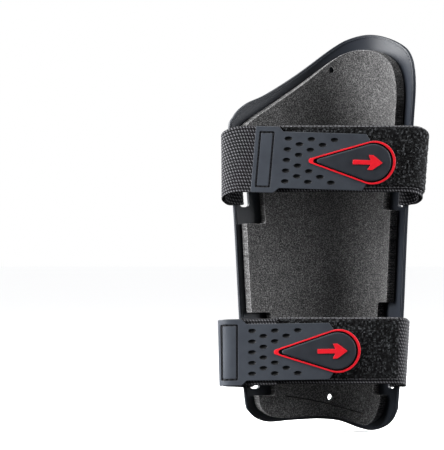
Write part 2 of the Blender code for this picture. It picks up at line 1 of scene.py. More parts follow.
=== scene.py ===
"""The looks of the shin guard: shell, foam pad, and two straps with moulded tabs.

Shapes are worked out in millimetres, on the same two layouts as the part:
- flat on the unrolled front surface of the shell: x round the shell from its crest, y up, z in front of it;
- flat on a strap's track: x along the track, y across the strap, z over the track.
Each piece is made flat and then bent to its place in metres.
"""

import math

import bmesh
import bpy
import numpy as np
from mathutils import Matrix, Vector


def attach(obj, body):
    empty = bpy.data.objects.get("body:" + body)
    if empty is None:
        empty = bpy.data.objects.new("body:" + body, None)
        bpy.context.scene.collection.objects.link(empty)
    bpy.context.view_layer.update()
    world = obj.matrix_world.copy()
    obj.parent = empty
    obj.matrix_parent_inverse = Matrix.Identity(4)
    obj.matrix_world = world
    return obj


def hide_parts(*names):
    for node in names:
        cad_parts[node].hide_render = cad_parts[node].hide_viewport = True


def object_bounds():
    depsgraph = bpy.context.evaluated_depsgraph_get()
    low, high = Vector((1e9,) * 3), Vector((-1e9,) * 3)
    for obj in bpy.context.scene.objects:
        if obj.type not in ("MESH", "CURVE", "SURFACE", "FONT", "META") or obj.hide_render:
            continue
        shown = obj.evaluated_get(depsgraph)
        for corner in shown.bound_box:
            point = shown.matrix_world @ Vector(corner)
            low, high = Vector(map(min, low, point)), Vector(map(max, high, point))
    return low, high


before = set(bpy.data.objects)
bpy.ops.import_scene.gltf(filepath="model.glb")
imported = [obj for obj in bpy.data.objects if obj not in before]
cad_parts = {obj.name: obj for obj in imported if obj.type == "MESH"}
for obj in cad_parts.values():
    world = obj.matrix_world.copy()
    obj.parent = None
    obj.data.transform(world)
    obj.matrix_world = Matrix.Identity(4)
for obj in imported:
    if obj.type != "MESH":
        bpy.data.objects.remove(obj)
CAD_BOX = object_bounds()

MM = 0.001

# Shell
CREST_X = -12.0
CREST_RADIUS = 56.0
STEEP_SIDE_REACH = 62.5
SHALLOW_SIDE_SLOPE = 0.82
BOTTOM_SCALE = 0.835
FULL_SCALE_HEIGHT = 265.0
BOW = 3.0
MIDDLE_HEIGHT = 150.0
LIP_HEIGHT = 30.0
LIP_KICK = 6.0
LEG_AXIS_DEPTH = 36.0
WALL = 2.6
OUTLINE = [
    (-58.8, 27), (-62, 85), (-65.2, 160), (-69.2, 228), (-71, 264), (-67.5, 284), (-57, 294),
    (-40, 299.5), (-24, 297.5), (-8.5, 290), (20, 269), (43, 254), (58, 246.5), (67.5, 236.5),
    (70.8, 222), (66.4, 160), (62.4, 84), (58.8, 27), (54.5, 13.5), (43, 7), (23, 7.8), (2, 8.4),
    (-14, 6.8), (-29, 1.8), (-40, 0), (-51, 4.2), (-57, 13.5),
]
OUTLINE_STEPS = 8  # pieces that a smooth outline has from one of its points to the next
SIDE_FROM = 50.0  # the shell's side edges lie further across than this
SIDE_HEIGHTS = (20.0, 240.0)
SECTION_MARGIN = 0.2  # the section stops this short of where its steep side stands upright
SECTION_REACH = 110.0
SECTION_POINTS = 6000
HOLE_RADIUS = 2.3
SHELL_HOLES = [(-14, 279), (-5, 25)]
SLOT_HEIGHT = 52.4
SLOT_WIDTH = 8.5
SLOT_CORNER = 3.0
BAR_WIDTH = 5.5
RIM_WIDTH = 2.0
RIM_HEIGHT = 0.8
RIM_STEP = 0.2
BEAD_INSET = 1.9  # from the shell's edge to the middle of the bead that follows it
BEAD_WIDTH = 0.9
BEAD_HEIGHT = 0.35
RELIEF_HEIGHT = 4.0
RELIEF_ROOT = 1.0
SHELL_SHARP = 26  # the shell's shading breaks where it turns by more than this, in degrees
SPEAR = [(-22, 270), (17, 186), (-7, 32), (-42, 170)]
SPEAR_TOP = [(-20, 259), (15, 186), (-7.5, 47), (-33, 171)]
SPEAR_WINDOW = [(-11, 214), (2, 164), (-8, 104), (-22, 158)]
SPEAR_WINDOW_FLOOR = [(-11, 204), (-1, 164), (-8.5, 116), (-19, 158)]
BLADES = [
    ([(-53, 208), (-45, 168), (-42, 104), (-51, 160)],
     [(-51.5, 196), (-46.6, 168), (-43, 116), (-48.5, 160)]),
    ([(34, 214), (39, 160), (26, 98), (29, 160)],
     [(34, 202), (37, 162), (27, 110), (30.6, 160)]),
    ([(-10.5, 190), (-4.5, 163), (-9, 128), (-16, 159)],
     [(-10.5, 184), (-6, 163), (-9.3, 134), (-13, 159)]),
]
BLADE_HEIGHT = 3.0
SHELL_EDGE = 0.6  # the radius of its rounded edges, like the next four
RIM_EDGE = 0.3
BEAD_EDGE = 0.2
SPEAR_EDGE = 0.7
BLADE_EDGE = 0.6
SHELL_SEGMENTS = 4
RELIEF_FROM = 15  # the relief is rounded from this turn on, in degrees
SHELL_COLUMN = 2.0  # the strips that the shell and the pad are cut into before they are bent
SHELL_ROW = 8.0

# Pad
PAD_THICKNESS = 7.0
GAP = 0.3
FILM_THICKNESS = 0.5
PAD_FRONT = -WALL - 2 * GAP - FILM_THICKNESS
PAD_REAR = PAD_FRONT - PAD_THICKNESS
PAD_OUTLINE = [
    (-52.5, 28), (-57, 85), (-60.5, 160), (-64, 226), (-65.5, 256), (-61.5, 275), (-51, 284.5),
    (-36, 288), (-22, 286.5), (-7, 280), (20, 261), (43, 245), (58, 234.5), (65.5, 226), (66, 216),
    (62.6, 160), (58.4, 84), (53.6, 27), (47, 14.5), (36, 11.4), (20, 12), (2, 12.6), (-14, 11.4),
    (-30, 7.6), (-40, 6.2), (-47, 10.5), (-50.5, 18),
]
PAD_HOLES = [(-6.5, 273), (-5, 25)]
NOTCH_MARGIN = 8.5
NOTCH_CORNER = 2.5
NOTCH_REACH = 30.0
PAD_EDGE = 0.35
CREASE_ENDS = (-37.5, 33.0)  # a fold across the pad's lower end
CREASE_CURVE = (-0.0006, 0.173, 21.2)  # its height as a polynomial of the place across
CREASE_POINTS = 25
CREASE_WIDTH = 2.0  # of its cutter, as far behind the pad as the fold is deep
CREASE_TAPER = 0.1  # the share of that width that is left at the fold's bottom
CREASE_DEPTH = 1.6
# points inside the fold get painted shade from the foam's material
CREASE_REACH = 2.5  # points of the pad nearer to the fold's line than this, and as deep as
FOLD_SHARES = (0.25, 1.1)  # these shares of its depth, are inside it

# Straps
WEB_WIDTH = 50.0
WEB_THICKNESS = 1.6
LAYER_OFFSET = 1.0
LOOP_RADIUS = 5.0
LOOP_CLOSES = 12.0
PILE_WIDTH = 44.0
PILE_THICKNESS = 1.4
PILE_RAISE = 1.5
PILE_START = 4.4
BAND_BELOW_TAB = 2.9
TURN_LENGTH = 34.0
TRACK_POINTS = 120  # in each of a track's two parts
LAYER_POINTS = 24  # the fewest in a layer of webbing
LOOP_POINTS = 61
STRAPS = {
    "upper": {
        "height": 195.0, "lean": 0.085, "rear_depth": 66.0, "rear_drop": 8.0,
        "tab": {"side": 1, "angle": 43, "reach": 17, "meet": 56, "meet_reach": 20, "end": -62,
                "rear_height": 203.0, "rise": 0.03, "notch": (12.6, 5)},
        "band": {"side": -1, "angle": 165, "reach": 14.5, "meet": -64, "meet_reach": 17, "end": 36.5,
                 "rear_height": 204.8, "rise": 0.0, "notch": (2.5, 5)},
        "tab_start": 50.4, "tail_end": 33.5, "inner_layer": 24.0, "pile_end": -79.0,
    },
    "lower": {
        "height": 58.0, "lean": 0.0, "rear_depth": 58.0, "rear_drop": 7.0,
        "tab": {"side": 1, "angle": 3, "reach": 17, "meet": 66, "meet_reach": 12, "end": -36,
                "rear_height": 60.9, "rise": -0.018, "notch": (5, 5)},
        "band": {"side": -1, "angle": 140, "reach": 7, "meet": -56, "meet_reach": 9, "end": 36.5,
                 "rear_height": 61.2, "rise": 0.0, "notch": (5, 12.6)},
        "tab_start": 73.12, "tail_end": 33.5, "inner_layer": 20.0, "pile_end": -57.0,
    },
}
REAR_HALF_WIDTH = 75.0

# Moulded tab
TAB_BASE = 2.1
TAB_THICKNESS = 2.2
TAB_TOP = TAB_BASE + TAB_THICKNESS
TAB_EDGE = 0.35
TAB_COLUMN = 1.5  # the strips that a tab's parts are cut into before they are bent
HEAD_LENGTH = 17.0
HEAD_HALF = 24.8
SHOULDER = 20.7
BODY_HALF = 21.2
BODY_LENGTH = 82.0
LOBE_CENTRE = 89.0
LOBE_RADIUS = 16.5
LOBE_MEETS = math.radians(102.5)  # where the tab's slanted end runs into the lobe
LOBE_POINTS = 49
DROP_HALF_ANGLE = math.radians(18.2)
DROP_TIP_RADIUS = 2.0
ON_TOP = 0.2
INLAY_LEVEL = TAB_TOP + ON_TOP
INLAY_EDGE = 0.2
OUTLINE_INSET = 0.2
OUTLINE_WIDTH = 1.35
OUTLINE_SHIFT = 0.6  # its hole stands this far towards the tip, so the red is widest round the lobe
OUTLINE_THICKNESS = 0.6
BUTTON_INSET = 2.6
BUTTON_SHIFT = 1.0
BUTTON_HEIGHT = 1.5
BUTTON_PROFILE = [  # from the button's side in to its middle: inset, share of its height
    (0.0, 0.35), (0.12, 0.56), (0.38, 0.74), (0.8, 0.86), (1.5, 0.93), (4.0, 0.97), (9.0, 1.0),
]
POCKET_DEPTH = 0.8  # the recess that the button sits in
ARROW_LEVEL = INLAY_LEVEL + BUTTON_HEIGHT + ON_TOP
ARROW_EDGE = 0.15
ARROW_THICKNESS = 0.5
ARROW_START = 73.5
ARROW_LENGTH = 22.0
ARROW_HEAD = 9.0
ARROW_HALF = 5.6
ARROW_STEM = 1.7
STITCH_BOX = (3.0, 14.2, 21.0)
GROOVE_WIDTH = 1.3
GROOVE_DEPTH = 0.9
GROOVE_CORNERS = (1.2, 0.6)
GROOVE_STEPS = 4
TACK_WIDTH = 1.6
TACK_THICKNESS = 0.4
TACK_INSET = 3.0
DIMPLE_LENGTH = 6.2
DIMPLE_WIDTH = 3.5
DIMPLE_DEPTH = 1.25
DIMPLE_RISE = 0.1  # how far the oval's centre stands over the face
DIMPLE_FIRST = 24.8
DIMPLE_STEP = 8.5
DIMPLE_ROWS = [(-16, -8, 0, 8, 16), (-12, -4, 4, 12), (-16, -8, 8, 16), (-12, 12), (-16, 16)]

# Weave and stitches
RIB_ACROSS = 2.5
RIB_ALONG = 2.2
RIB_HEIGHT = 0.3
RIB_SLANT = 0.8
RIB_SHARPNESS = 1.3
COLUMN_SHARPNESS = 0.7
WEAVE_STEP = 0.5
PILE_STEP = 0.55
PILE_NAP = 0.8
PILE_RAGGED = 0.6
TUFT_SIZE = 1.3
TUFT_SHARE = 0.55  # of the nap's height; single loops make the rest
TUFT_TABLE = (400, 80)
TUFT_SHARPNESS = 1.3
SEAM_FROM_PILE = 0.8
STITCH_PITCH = 3.0
STITCH_LENGTH = 2.5
STITCH_RADIUS = 0.38
STITCH_PLAY = 0.1
STITCH_SIDES = (10, 8)

# Flat solids
CUTTER_PLAY = 1.0  # how far a cutter stands past the faces that it cuts
CORNER_SHARE = 0.45  # the most of a side that one rounded corner may take
STRAIGHT = 0.002  # in radians, for edges that can go before a bevel
BISECT_PLAY = 0.001
FLAT_ANGLE = 0.0001
ON_CUT = 0.01
WELD = 0.002
NORMAL_WEIGHT = 80

# Colours, from dark to light, as red, green and blue in linear light
SHELL_SATIN = (0.0085, 0.01, 0.0135), (0.0105, 0.0125, 0.0165)
SHELL_POLISHED = (0.0022, 0.0024, 0.003), (0.003, 0.0032, 0.004)
FOAM_FLECKS = (0.02, 0.021, 0.021), (0.08, 0.08, 0.081), (0.28, 0.274, 0.278)
# the yarn's grey, with painted shade in the ribs' valleys and a painted highlight on their crowns
YARN_PAINTED_LIGHT_AND_SHADE = (0.0025, 0.0025, 0.003), (0.016, 0.016, 0.018), (0.115, 0.114, 0.122)
# the pile's black, with painted shade down between the loops and a painted highlight at their tips
PILE_PAINTED_LIGHT_AND_SHADE = (0.0012, 0.0012, 0.0015), (0.009, 0.0095, 0.01), (0.04, 0.042, 0.045), (0.1, 0.104, 0.11)
TAB_GREY = (0.023, 0.026, 0.032), (0.029, 0.033, 0.04)
BUTTON_GREY = (0.014, 0.0155, 0.019), (0.018, 0.02, 0.0245)
INLAY_RED = (0.4, 0.0055, 0.011), (0.47, 0.0075, 0.015)
THREAD_BLACK = (0.002, 0.002, 0.0025), (0.01, 0.01, 0.012)
SEAM_GREY = (0.03, 0.03, 0.033), (0.13, 0.13, 0.14)
FILM_STRAW = (0.46, 0.43, 0.36), (0.6, 0.57, 0.5)
HOOK_BLACK = (0.004, 0.004, 0.005), (0.03, 0.03, 0.032)

# Studio
FLOOR_RADIUS = 14.0
FLOOR_SIDES = 96
FLOOR_GAP = 0.0005
FLOOR_WHITE = (0.97, 0.97, 0.97, 1)
ROOM_BLUE = (0.9, 0.94, 1.0, 1)
ROOM_LIGHT = 0.12
SUN_FROM = (0.15, 0.22, 1.0)
SUN_SPREAD = 50
SUN_STRENGTH = 2.9
LIGHTS = (  # name, place, size, power, and whether polished faces mirror it
    ("side_left", (1.4, 0.3, 0.5), 0.9, 112, False),
    ("side_right", (-1.4, 0.3, 0.55), 0.9, 64, False),
    ("gleam_left", (1.4, 0.3, 0.6), 0.9, 24, True),
    ("gleam_right", (-1.4, 0.3, 0.6), 0.9, 7, True),
    ("front_left", (-1.3, -0.5, 0.7), 1.0, 42, True),
    ("front_right", (1.3, -0.5, 0.7), 1.0, 26, True),
)
SCALE_OF_VIEW = 0.339  # how much of the object's plane the picture's width takes in
CAMERA_DISTANCE = 3.5
VIEW_CENTRE = (0.075, 0.1553)
SENSOR = 36.0


# --- The shell's front surface ---

def section():
    """The shell's full-size section: distance round it from the crest, place across, place back."""
    across = np.linspace(-STEEP_SIDE_REACH + SECTION_MARGIN, SECTION_REACH, SECTION_POINTS)
    deep = STEEP_SIDE_REACH**2 / CREST_RADIUS
    steep = np.clip(across, -STEEP_SIDE_REACH, 0) / STEEP_SIDE_REACH
    left = deep * (1 - np.sqrt(1 - steep**2))
    flat = SHALLOW_SIDE_SLOPE**2 * CREST_RADIUS
    right = np.sqrt(flat**2 + (SHALLOW_SIDE_SLOPE * across) ** 2) - flat
    back = np.where(across < 0, left, right)
    around = np.concatenate([[0], np.cumsum(np.hypot(np.diff(across), np.diff(back)))])
    return around - np.interp(0, across, around), across, back


AROUND, ACROSS, BACK = section()


def scale_at(height):
    """The section's scale, which falls towards the ankle."""
    return BOTTOM_SCALE + (1 - BOTTOM_SCALE) * height / FULL_SCALE_HEIGHT


def surface(around, height):
    """Points of the shell's front surface, in millimetres."""
    scale = scale_at(height)
    below = np.clip((LIP_HEIGHT - height) / LIP_HEIGHT, 0, None)
    set_back = BOW * ((height - MIDDLE_HEIGHT) / MIDDLE_HEIGHT) ** 2 - LIP_KICK * below**2
    x = CREST_X + scale * np.interp(around / scale, AROUND, ACROSS)
    y = scale * np.interp(around / scale, AROUND, BACK) + set_back - LEG_AXIS_DEPTH
    return np.stack([x, y, height], -1)


def unit(rows):
    return rows / np.linalg.norm(rows, axis=-1, keepdims=True)


def on_shell(flat, step=0.6):
    """Places and directions, in millimetres, for points of the unrolled shell."""
    around, height, over = flat.T
    along = unit(surface(around + step, height) - surface(around - step, height))
    up = surface(around, height + step) - surface(around, height - step)
    out = unit(np.cross(along, up))
    up = np.cross(out, along)
    return surface(around, height) + out * over[:, None], np.stack([along, up, out], 1)


def unrolled(x, height):
    """The unrolled place of a point that is seen at x from the front."""
    scale = scale_at(height)
    return scale * float(np.interp((x - CREST_X) / scale, ACROSS, AROUND)), height


def unrolled_all(points):
    return [unrolled(x, z) for x, z in points]


# --- Strap tracks ---

class Track:
    """A strap's middle line, with the strap's width direction at each of its points."""

    def __init__(self, points, widths):
        self.points = np.array(points, float)
        self.widths = np.array(widths, float)
        steps = np.linalg.norm(np.diff(self.points, axis=0), axis=1)
        self.along = np.concatenate([[0], np.cumsum(steps)])
        self.tangents = np.gradient(self.points, self.along, axis=0, edge_order=1)
        self.outward = unit(np.cross(self.tangents, self.widths))

    def length(self):
        return float(self.along[-1])

    def read(self, table, s):
        return np.stack([np.interp(s, self.along, table[:, k]) for k in range(3)], -1)

    def frame(self, flat):
        s, across, over = flat.T
        width = unit(self.read(self.widths, s))
        outward = unit(self.read(self.outward, s))
        place = self.read(self.points, s) + width * across[:, None] + outward * over[:, None]
        return place, np.stack([np.cross(width, outward), width, outward], 1)

    def backward(self):
        return Track(self.points[::-1], self.widths[::-1])

    def where_across(self, x):
        """The distance along the track at which its rear part crosses x."""
        turn = int(np.argmax(np.abs(self.points[:, 0])))
        rear = slice(turn, None) if turn < len(self.points) / 2 else slice(0, turn + 1)
        xs, along = self.points[rear, 0], self.along[rear]
        order = np.argsort(xs)
        return float(np.interp(x, xs[order], along[order]))


def smooth_step(t):
    t = np.clip(t, 0.0, 1.0)
    return t * t * (3 - 2 * t)


def smooth_outline(points, steps=OUTLINE_STEPS):
    """A closed curve through all of the points."""
    at = np.array(points, float)
    before, after, beyond = np.roll(at, 1, 0), np.roll(at, -1, 0), np.roll(at, -2, 0)
    pieces = []
    for t in np.arange(steps) / steps:
        pieces.append(0.5 * (
            2 * at + (after - before) * t + (2 * before - 5 * at + 4 * after - beyond) * t**2
            + (3 * at - before - 3 * after + beyond) * t**3
        ))
    return [tuple(p) for p in np.stack(pieces, 1).reshape(-1, 2)]


def edge_at(side, height):
    """How far across the shell's side edge is at a height."""
    low, high = SIDE_HEIGHTS
    line = np.array([p for p in smooth_outline(OUTLINE) if p[0] * side > SIDE_FROM and low < p[1] < high])
    line = line[np.argsort(line[:, 1])]
    return float(np.interp(height, line[:, 1], line[:, 0]))


def beside_edge(side, height, inward):
    """An unrolled place that lies a distance in from the shell's side edge."""
    return unrolled(edge_at(side, height), height)[0] - side * inward, height


def bar_axis(side, height):
    """The middle of the bar outside a slot, and the direction of its length."""
    ends = []
    for end in (-1, 1):
        around, up = beside_edge(side, height + end * WEB_WIDTH / 2, BAR_WIDTH / 2)
        ends.append(on_shell(np.array([[around, up, -WALL / 2]]))[0][0])
    return (ends[0] + ends[1]) / 2, unit(ends[1] - ends[0])


def tail_track(strap, half, deeper=0.0):
    """The track of one half of a strap, from its bar to its free end."""
    bar, lean = bar_axis(half["side"], strap["height"])
    angle = math.radians(half["angle"])

    def rear(x):
        depth = strap["rear_depth"] - deeper - strap["rear_drop"] * (x / REAR_HALF_WIDTH) ** 2
        return np.array([x, depth - LEG_AXIS_DEPTH, half["rear_height"] + half["rise"] * x])

    meet = rear(half["meet"])
    slope = unit(rear(half["meet"] + half["side"]) - meet)
    leave = bar + np.array([math.cos(angle), math.sin(angle), 0]) * half["reach"]
    arrive = meet + slope * half["meet_reach"]
    points = []
    for t in np.linspace(0, 1, TRACK_POINTS):
        u = 1 - t
        points.append(bar * u**3 + leave * (3 * u * u * t) + arrive * (3 * u * t * t) + meet * t**3)
    points += [rear(x) for x in np.linspace(half["meet"], half["end"], TRACK_POINTS)[1:]]
    points = np.array(points)
    rear_lean = unit(np.array([-strap["lean"], 0, 1]))
    gone = np.concatenate([[0], np.cumsum(np.linalg.norm(np.diff(points, axis=0), axis=1))])
    share = smooth_step(gone / TURN_LENGTH)[:, None]
    return Track(points, unit(lean * (1 - share) + rear_lean * share))


def loop_track(tail, first, last):
    """The webbing's own track: down one side of the tail, round the bar and up the other side."""

    def layer(length, sign):
        s = np.linspace(0, length, max(LAYER_POINTS, int(length)))
        gap = LAYER_OFFSET + (LOOP_RADIUS - LAYER_OFFSET) * (1 - smooth_step(s / LOOP_CLOSES))
        return tail.frame(np.stack([s, 0 * s, sign * gap], -1))[0], tail.read(tail.widths, s)

    out, width = tail.outward[0], tail.widths[0]
    ahead = np.cross(width, out)
    angles = np.radians(np.linspace(-90, 90, LOOP_POINTS)[1:-1])[:, None]
    turn = tail.points[0] + (out * np.sin(angles) - ahead * np.cos(angles)) * LOOP_RADIUS
    inner, outer = layer(first, -1), layer(last, 1)
    points = np.concatenate([inner[0][::-1], turn, outer[0]])
    widths = np.concatenate([inner[1][::-1], np.repeat(width[None], len(turn), 0), outer[1]])
    return Track(points, widths)


# --- Outlines ---

def rounded(points, radius, steps=8):
    """An outline with its corners rounded."""
    found = []
    for i, corner in enumerate(points):
        corner = Vector(corner)
        back = Vector(points[i - 1]) - corner
        ahead = Vector(points[(i + 1) % len(points)]) - corner
        half = back.angle(ahead) / 2
        cut = min(radius / math.tan(half), CORNER_SHARE * back.length, CORNER_SHARE * ahead.length)
        start, end = corner + back.normalized() * cut, corner + ahead.normalized() * cut
        for k in range(steps + 1):
            t = k / steps
            point = start * (1 - t) ** 2 + corner * (2 * t * (1 - t)) + end * t**2
            found.append((point.x, point.y))
    return found


def inset(points, distance):
    """A smooth outline drawn in by a distance. The outline runs clockwise."""
    at = np.array(points)
    along = unit(np.roll(at, -1, 0) - np.roll(at, 1, 0))
    return [tuple(p) for p in at + np.stack([along[:, 1], -along[:, 0]], -1) * distance]


def rectangle(start, end, low, high):
    return [(start, low), (end, low), (end, high), (start, high)]


def arc(centre, radius, start, end, count):
    """Points of an arc about a centre on the x axis."""
    return [(centre + radius * math.cos(a), radius * math.sin(a)) for a in np.linspace(start, end, count)]


def circle(centre, radius, sides=28):
    turns = np.linspace(0, 2 * math.pi, sides, endpoint=False)
    return [(centre[0] + radius * math.cos(a), centre[1] + radius * math.sin(a)) for a in turns]


def side_patch(side, low, high, near, far, corner):
    """A rounded patch between two heights and two distances in from the shell's side edge."""
    corners = [beside_edge(side, low, near), beside_edge(side, high, near),
               beside_edge(side, high, far), beside_edge(side, low, far)]
    return rounded(corners, corner)


def slot_outline(side, height, grow=0.0):
    """A slot inside its bar, or a line round the slot at a distance."""
    reach = SLOT_HEIGHT / 2 + grow
    near, far = BAR_WIDTH - grow, BAR_WIDTH + SLOT_WIDTH + grow
    return side_patch(side, height - reach, height + reach, near, far, SLOT_CORNER + grow)


def teardrop(drawn_in, shift=0.0, steps=48, tip_steps=10):
    """The outline of the tab's teardrop, drawn in and moved towards its tip, which is rounded."""
    radius = LOBE_RADIUS - drawn_in
    reach = radius / math.sin(DROP_HALF_ANGLE)
    turn = math.pi / 2 + DROP_HALF_ANGLE
    tip_radius = DROP_TIP_RADIUS * radius / LOBE_RADIUS
    centre = LOBE_CENTRE - shift
    tip = centre - reach + tip_radius / math.sin(DROP_HALF_ANGLE)
    lobe = arc(centre, radius, turn, -turn, steps + 1)
    return lobe + arc(tip, tip_radius, 2 * math.pi - turn, turn, tip_steps + 1)


def arrow_outline():
    """A pull arrow with a swept-back head, pointing to the tab's free end."""
    end, neck = ARROW_START + ARROW_LENGTH, ARROW_START + ARROW_LENGTH - ARROW_HEAD
    upper = [(ARROW_START, ARROW_STEM), (neck, ARROW_STEM), (neck - ARROW_STEM, ARROW_HALF),
             (neck + ARROW_STEM, ARROW_HALF)]
    return upper + [(end, 0)] + [(x, -y) for x, y in reversed(upper)]


# --- Flat solids ---

def linked(name, data):
    obj = bpy.data.objects.new(name, data)
    bpy.context.scene.collection.objects.link(obj)
    return obj


def object_from(bm, name):
    mesh = bpy.data.meshes.new(name)
    bm.to_mesh(mesh)
    bm.free()
    return linked(name, mesh)


def stacked(*rings):
    """A closed solid through rings of equally many points. Each ring is an outline and its height."""
    bm = bmesh.new()
    loops = [[bm.verts.new((x, y, z)) for x, y in outline] for outline, z in rings]
    bm.faces.new(loops[0])
    bm.faces.new(loops[-1])
    for lower, upper in zip(loops, loops[1:]):
        for i in range(len(lower)):
            j = (i + 1) % len(lower)
            bm.faces.new((lower[i], lower[j], upper[j], upper[i]))
    bmesh.ops.recalc_face_normals(bm, faces=bm.faces)
    return object_from(bm, "solid")


def applied(obj):
    """Makes the object's modifiers part of its mesh."""
    mesh = bpy.data.meshes.new_from_object(obj.evaluated_get(bpy.context.evaluated_depsgraph_get()))
    obj.modifiers.clear()
    obj.data = mesh
    return obj


def combine(obj, other, operation="DIFFERENCE"):
    """Cuts the other solid from the first one, or joins it on. The other one is used up."""
    boolean = obj.modifiers.new("join", "BOOLEAN")
    boolean.operation = operation
    boolean.object = other
    applied(obj)
    bpy.data.objects.remove(other)
    return obj


def softened(obj, width, segments=3, from_angle=40):
    """Rounds the solid's edges that turn by more than an angle in degrees."""
    bm = bmesh.new()
    bm.from_mesh(obj.data)
    bmesh.ops.dissolve_limit(bm, angle_limit=STRAIGHT, verts=bm.verts, edges=bm.edges)
    bm.to_mesh(obj.data)
    bm.free()
    bevel = obj.modifiers.new("bevel", "BEVEL")
    bevel.width = width
    bevel.segments = segments
    bevel.limit_method = "ANGLE"
    bevel.angle_limit = math.radians(from_angle)
    bevel.use_clamp_overlap = False
    bevel.miter_outer = "MITER_ARC"
    return applied(obj)


def plate(outline, low, high, holes=()):
    """A straight-sided solid with straight-sided holes."""
    obj = stacked((outline, low), (outline, high))
    for hole in holes:
        combine(obj, stacked((hole, low - CUTTER_PLAY), (hole, high + CUTTER_PLAY)))
    return obj


def scored(obj, column, row=None):
    """Cuts the flat solid's faces into strips narrow enough to bend."""
    bm = bmesh.new()
    bm.from_mesh(obj.data)
    bmesh.ops.triangulate(bm, faces=bm.faces)
    lines = []
    for axis, step in ((0, column), (1, row)):
        if not step:
            continue
        places = [v.co[axis] for v in bm.verts]
        normal = Vector((1, 0, 0)) if axis == 0 else Vector((0, 1, 0))
        for at in np.arange(math.ceil(min(places) / step), math.ceil(max(places) / step)) * step:
            lines.append((axis, float(at)))
            bmesh.ops.bisect_plane(bm, geom=bm.verts[:] + bm.edges[:] + bm.faces[:], dist=BISECT_PLAY,
                                   plane_co=normal * float(at), plane_no=normal)
    cuts = [np.array([at for axis, at in lines if axis == k]) for k in (0, 1)]

    def inner(edge):
        if len(edge.link_faces) != 2 or edge.calc_face_angle() > FLAT_ANGLE:
            return False
        a, b = (v.co for v in edge.verts)
        return not any(len(at) and np.min(abs(a[k] - at) + abs(b[k] - at)) < ON_CUT
                       for k, at in enumerate(cuts))

    bmesh.ops.dissolve_edges(bm, edges=[e for e in bm.edges if inner(e)], use_verts=True)
    bmesh.ops.remove_doubles(bm, verts=bm.verts, dist=WELD)
    bmesh.ops.triangulate(bm, faces=bm.faces)
    bm.to_mesh(obj.data)
    bm.free()
    return obj


def bent(obj, frame_of, shift=0.0, sharp=42):
    """Bends the flat solid to its place and turns its shading with it. shift is added to its x."""
    obj.data.shade_smooth()
    obj.data.set_sharp_from_angle(angle=math.radians(sharp))
    weighted = obj.modifiers.new("weighted", "WEIGHTED_NORMAL")
    weighted.keep_sharp = True
    weighted.weight = NORMAL_WEIGHT
    applied(obj)
    mesh = obj.data
    flat = np.empty(len(mesh.vertices) * 3)
    mesh.vertices.foreach_get("co", flat)
    flat = flat.reshape(-1, 3) + np.array([shift, 0, 0])
    normals = np.array([n.vector[:] for n in mesh.corner_normals])
    corner_vertex = np.empty(len(mesh.loops), int)
    mesh.loops.foreach_get("vertex_index", corner_vertex)
    place, basis = frame_of(flat)
    turned = np.einsum("ni,nij->nj", normals, basis[corner_vertex])
    mesh.vertices.foreach_set("co", (place * MM).ravel())
    mesh.update()
    mesh.normals_split_custom_set([tuple(n) for n in unit(turned)])
    keep(mesh, "flat", flat)
    return obj


def keep(mesh, name, values):
    """Stores a number or a vector at each vertex, for the materials."""
    kind, key = ("FLOAT", "value") if np.ndim(values) == 1 else ("FLOAT_VECTOR", "vector")
    layer = mesh.attributes.new(name, kind, "POINT")
    layer.data.foreach_set(key, values.astype(np.float32).ravel())


# --- Materials ---

